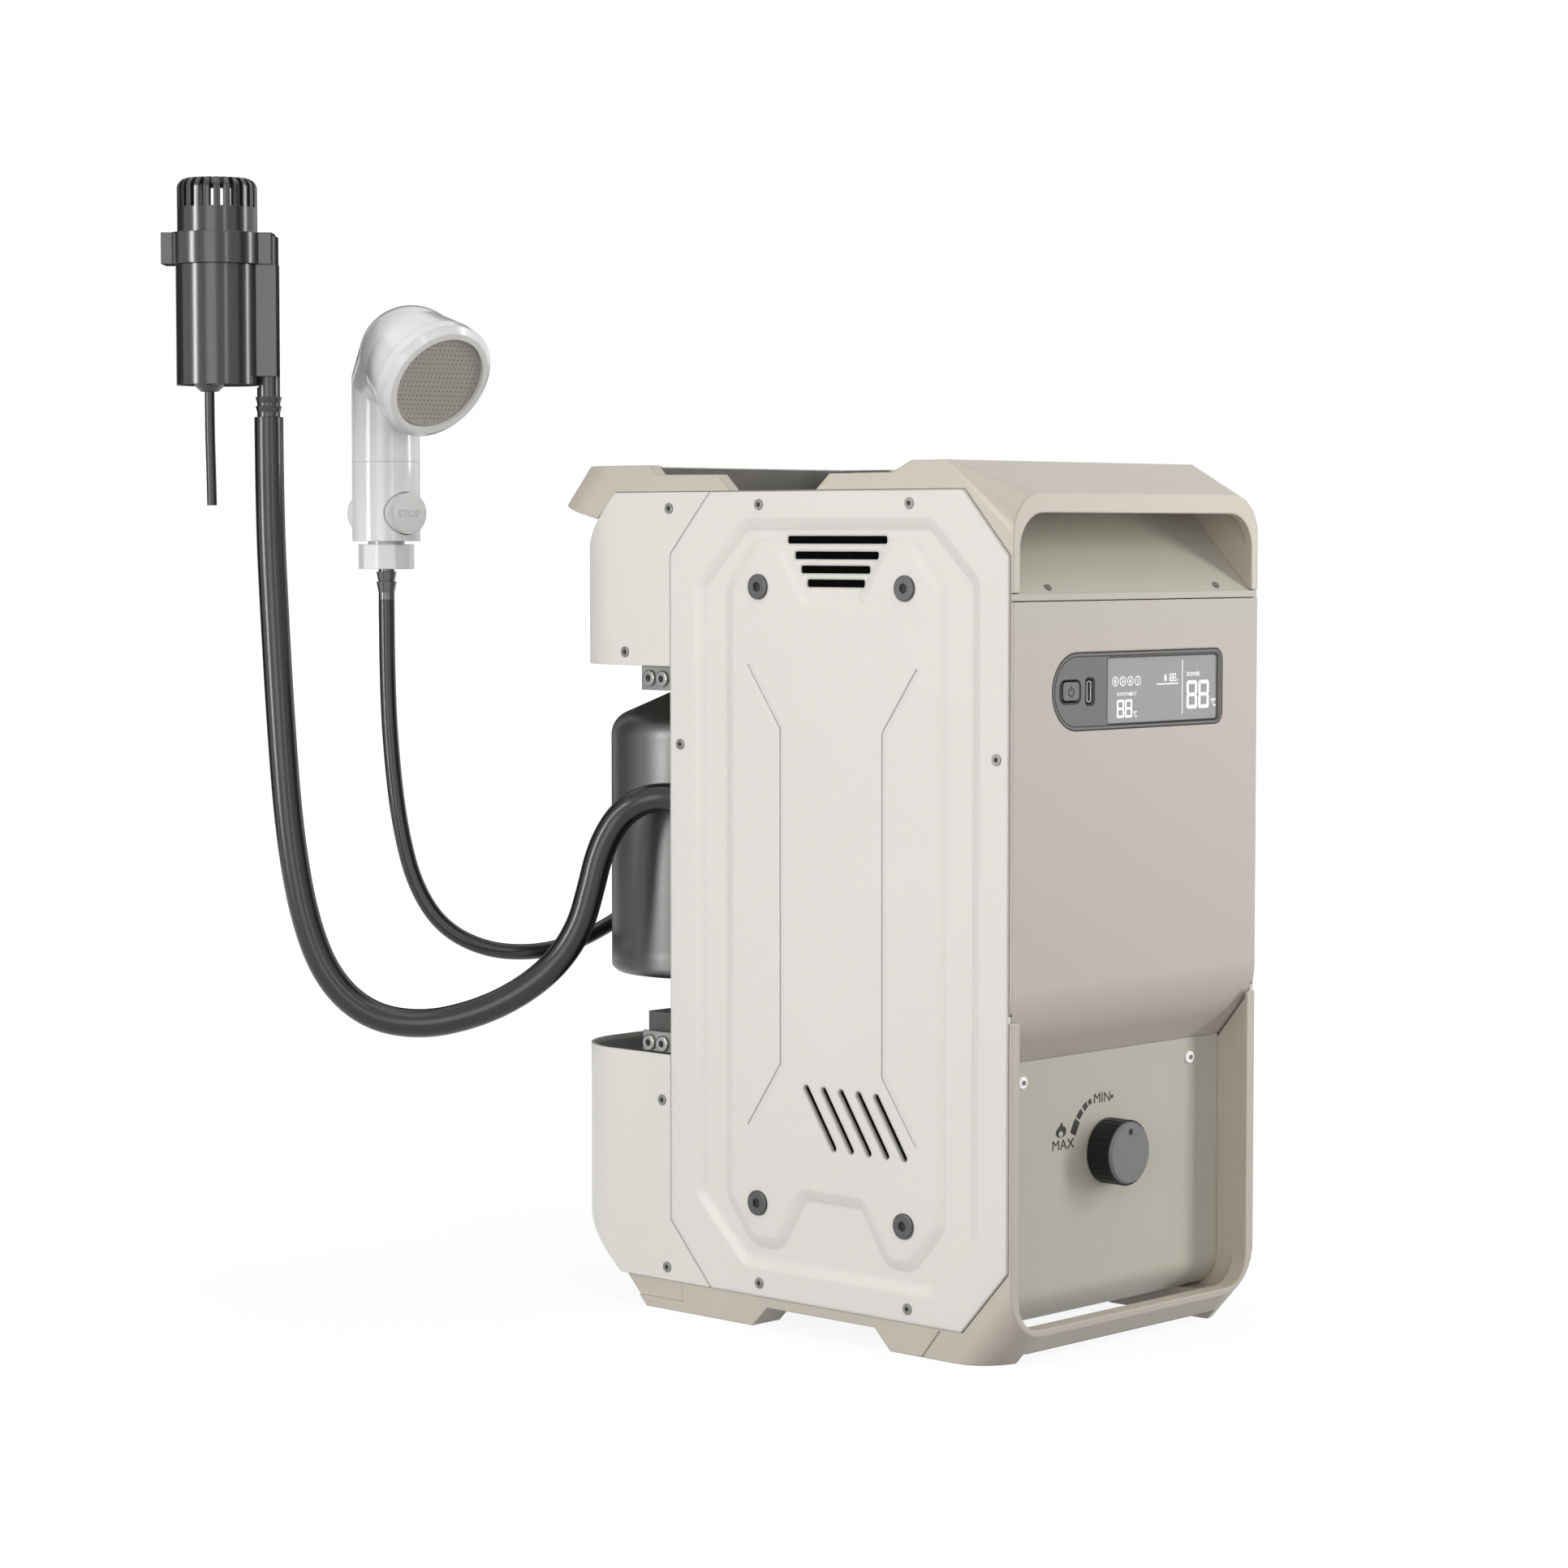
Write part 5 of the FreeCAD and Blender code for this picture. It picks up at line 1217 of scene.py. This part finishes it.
@dataclass
class HolePattern:
    """A round field of small holes, as many rows each way from its middle, made by Geometry Nodes."""

    rows: int
    spacing: float
    radius: float
    depth: float
    corners: int = 8

    def tree(self) -> bpy.types.GeometryNodeTree:
        """Build the node tree, whose inputs are the pattern's sizes.

        Returns:
            The tree.
        """
        group = bpy.data.node_groups.new("spray_pattern", "GeometryNodeTree")
        face = group.interface
        face.new_socket("Geometry", in_out="INPUT", socket_type="NodeSocketGeometry")
        for name, kind in (("Rows", "NodeSocketInt"), ("Spacing", "NodeSocketFloat"),
                           ("Radius", "NodeSocketFloat"), ("Depth", "NodeSocketFloat"),
                           ("Material", "NodeSocketMaterial")):
            face.new_socket(name, in_out="INPUT", socket_type=kind)
        face.new_socket("Geometry", in_out="OUTPUT", socket_type="NodeSocketGeometry")
        tree = Tree(group)
        given = tree.node("NodeGroupInput")
        result = tree.node("NodeGroupOutput")
        gaps = tree.combined("MULTIPLY", given.outputs["Rows"], 2.0)
        count = tree.combined("ADD", gaps, 1.0)
        wide = tree.combined("MULTIPLY", gaps, given.outputs["Spacing"])
        grid = tree.node("GeometryNodeMeshGrid")
        for axis in ("X", "Y"):
            tree.fill(grid, **{f"Size_{axis}": wide, f"Vertices_{axis}": count})
        place = tree.node("GeometryNodeInputPosition")
        far = tree.node("ShaderNodeVectorMath", operation="LENGTH")
        tree.link(place.outputs[0], far.inputs[0])
        reach = tree.combined("MULTIPLY", given.outputs["Rows"], given.outputs["Spacing"])
        outside = tree.combined("GREATER_THAN", far.outputs["Value"], reach)
        trimmed = tree.node("GeometryNodeDeleteGeometry", in_Geometry=grid.outputs["Mesh"],
                            in_Selection=outside)
        hole = tree.node("GeometryNodeMeshCylinder", fill_type="NGON", in_Vertices=self.corners,
                         in_Radius=given.outputs["Radius"], in_Depth=given.outputs["Depth"])
        spread = tree.node("GeometryNodeInstanceOnPoints", in_Points=trimmed.outputs[0],
                           in_Instance=hole.outputs["Mesh"])
        solid = tree.node("GeometryNodeRealizeInstances", in_Geometry=spread.outputs[0])
        coloured = tree.node("GeometryNodeSetMaterial", in_Geometry=solid.outputs[0],
                             in_Material=given.outputs["Material"])
        tree.link(coloured.outputs[0], result.inputs[0])
        return group

    def mesh(self, name: str) -> bpy.types.Mesh:
        """Run the tree and keep its result.

        Args:
            name: the mesh's name.

        Returns:
            The holes as a plain mesh.
        """
        carrier = linked(f"{name}_carrier", bpy.data.meshes.new(f"{name}_carrier"))
        step = carrier.modifiers.new("pattern", "NODES")
        step.node_group = self.tree()
        sizes = {"Rows": self.rows, "Spacing": self.spacing, "Radius": self.radius, "Depth": self.depth,
                 "Material": WARDROBE.get(INK_AND_HOLE_SHADE)}
        for socket in step.node_group.interface.items_tree:
            if socket.in_out == "INPUT" and socket.name in sizes:
                step[socket.identifier] = sizes[socket.name]
        graph = bpy.context.evaluated_depsgraph_get()
        mesh = bpy.data.meshes.new_from_object(carrier.evaluated_get(graph))
        mesh.name = name
        bpy.data.objects.remove(carrier)
        return mesh


class Pump:
    """The submersible pump."""

    def build(self) -> None:
        """Dress the pump."""
        WARDROBE.dress(PUMP_BLACK, "pump_body", "pump_collar", "pump_filter_cap", "pump_outlet")
        LOG.info("pump dressed")


# ---------------- order of work

def as_list(pair: Iterable[Vector]) -> list[list[float]]:
    """Corners as plain numbers."""
    return [[float(part) for part in corner] for corner in pair]


def main() -> None:
    """Build the scene in order and note its size."""
    logging.basicConfig(level=logging.INFO, format="%(message)s")
    before = as_list(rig.bounds())
    Studio().build()
    for hose in HOSES:
        hose.build()
    Casing().build()
    Display().build()
    Dial().build()
    Shower().build()
    Pump().build()
    with open("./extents.json", "w", encoding="utf-8") as report:
        json.dump({"cad": before, "visual": as_list(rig.bounds())}, report)


if __name__ == "__main__":
    main()
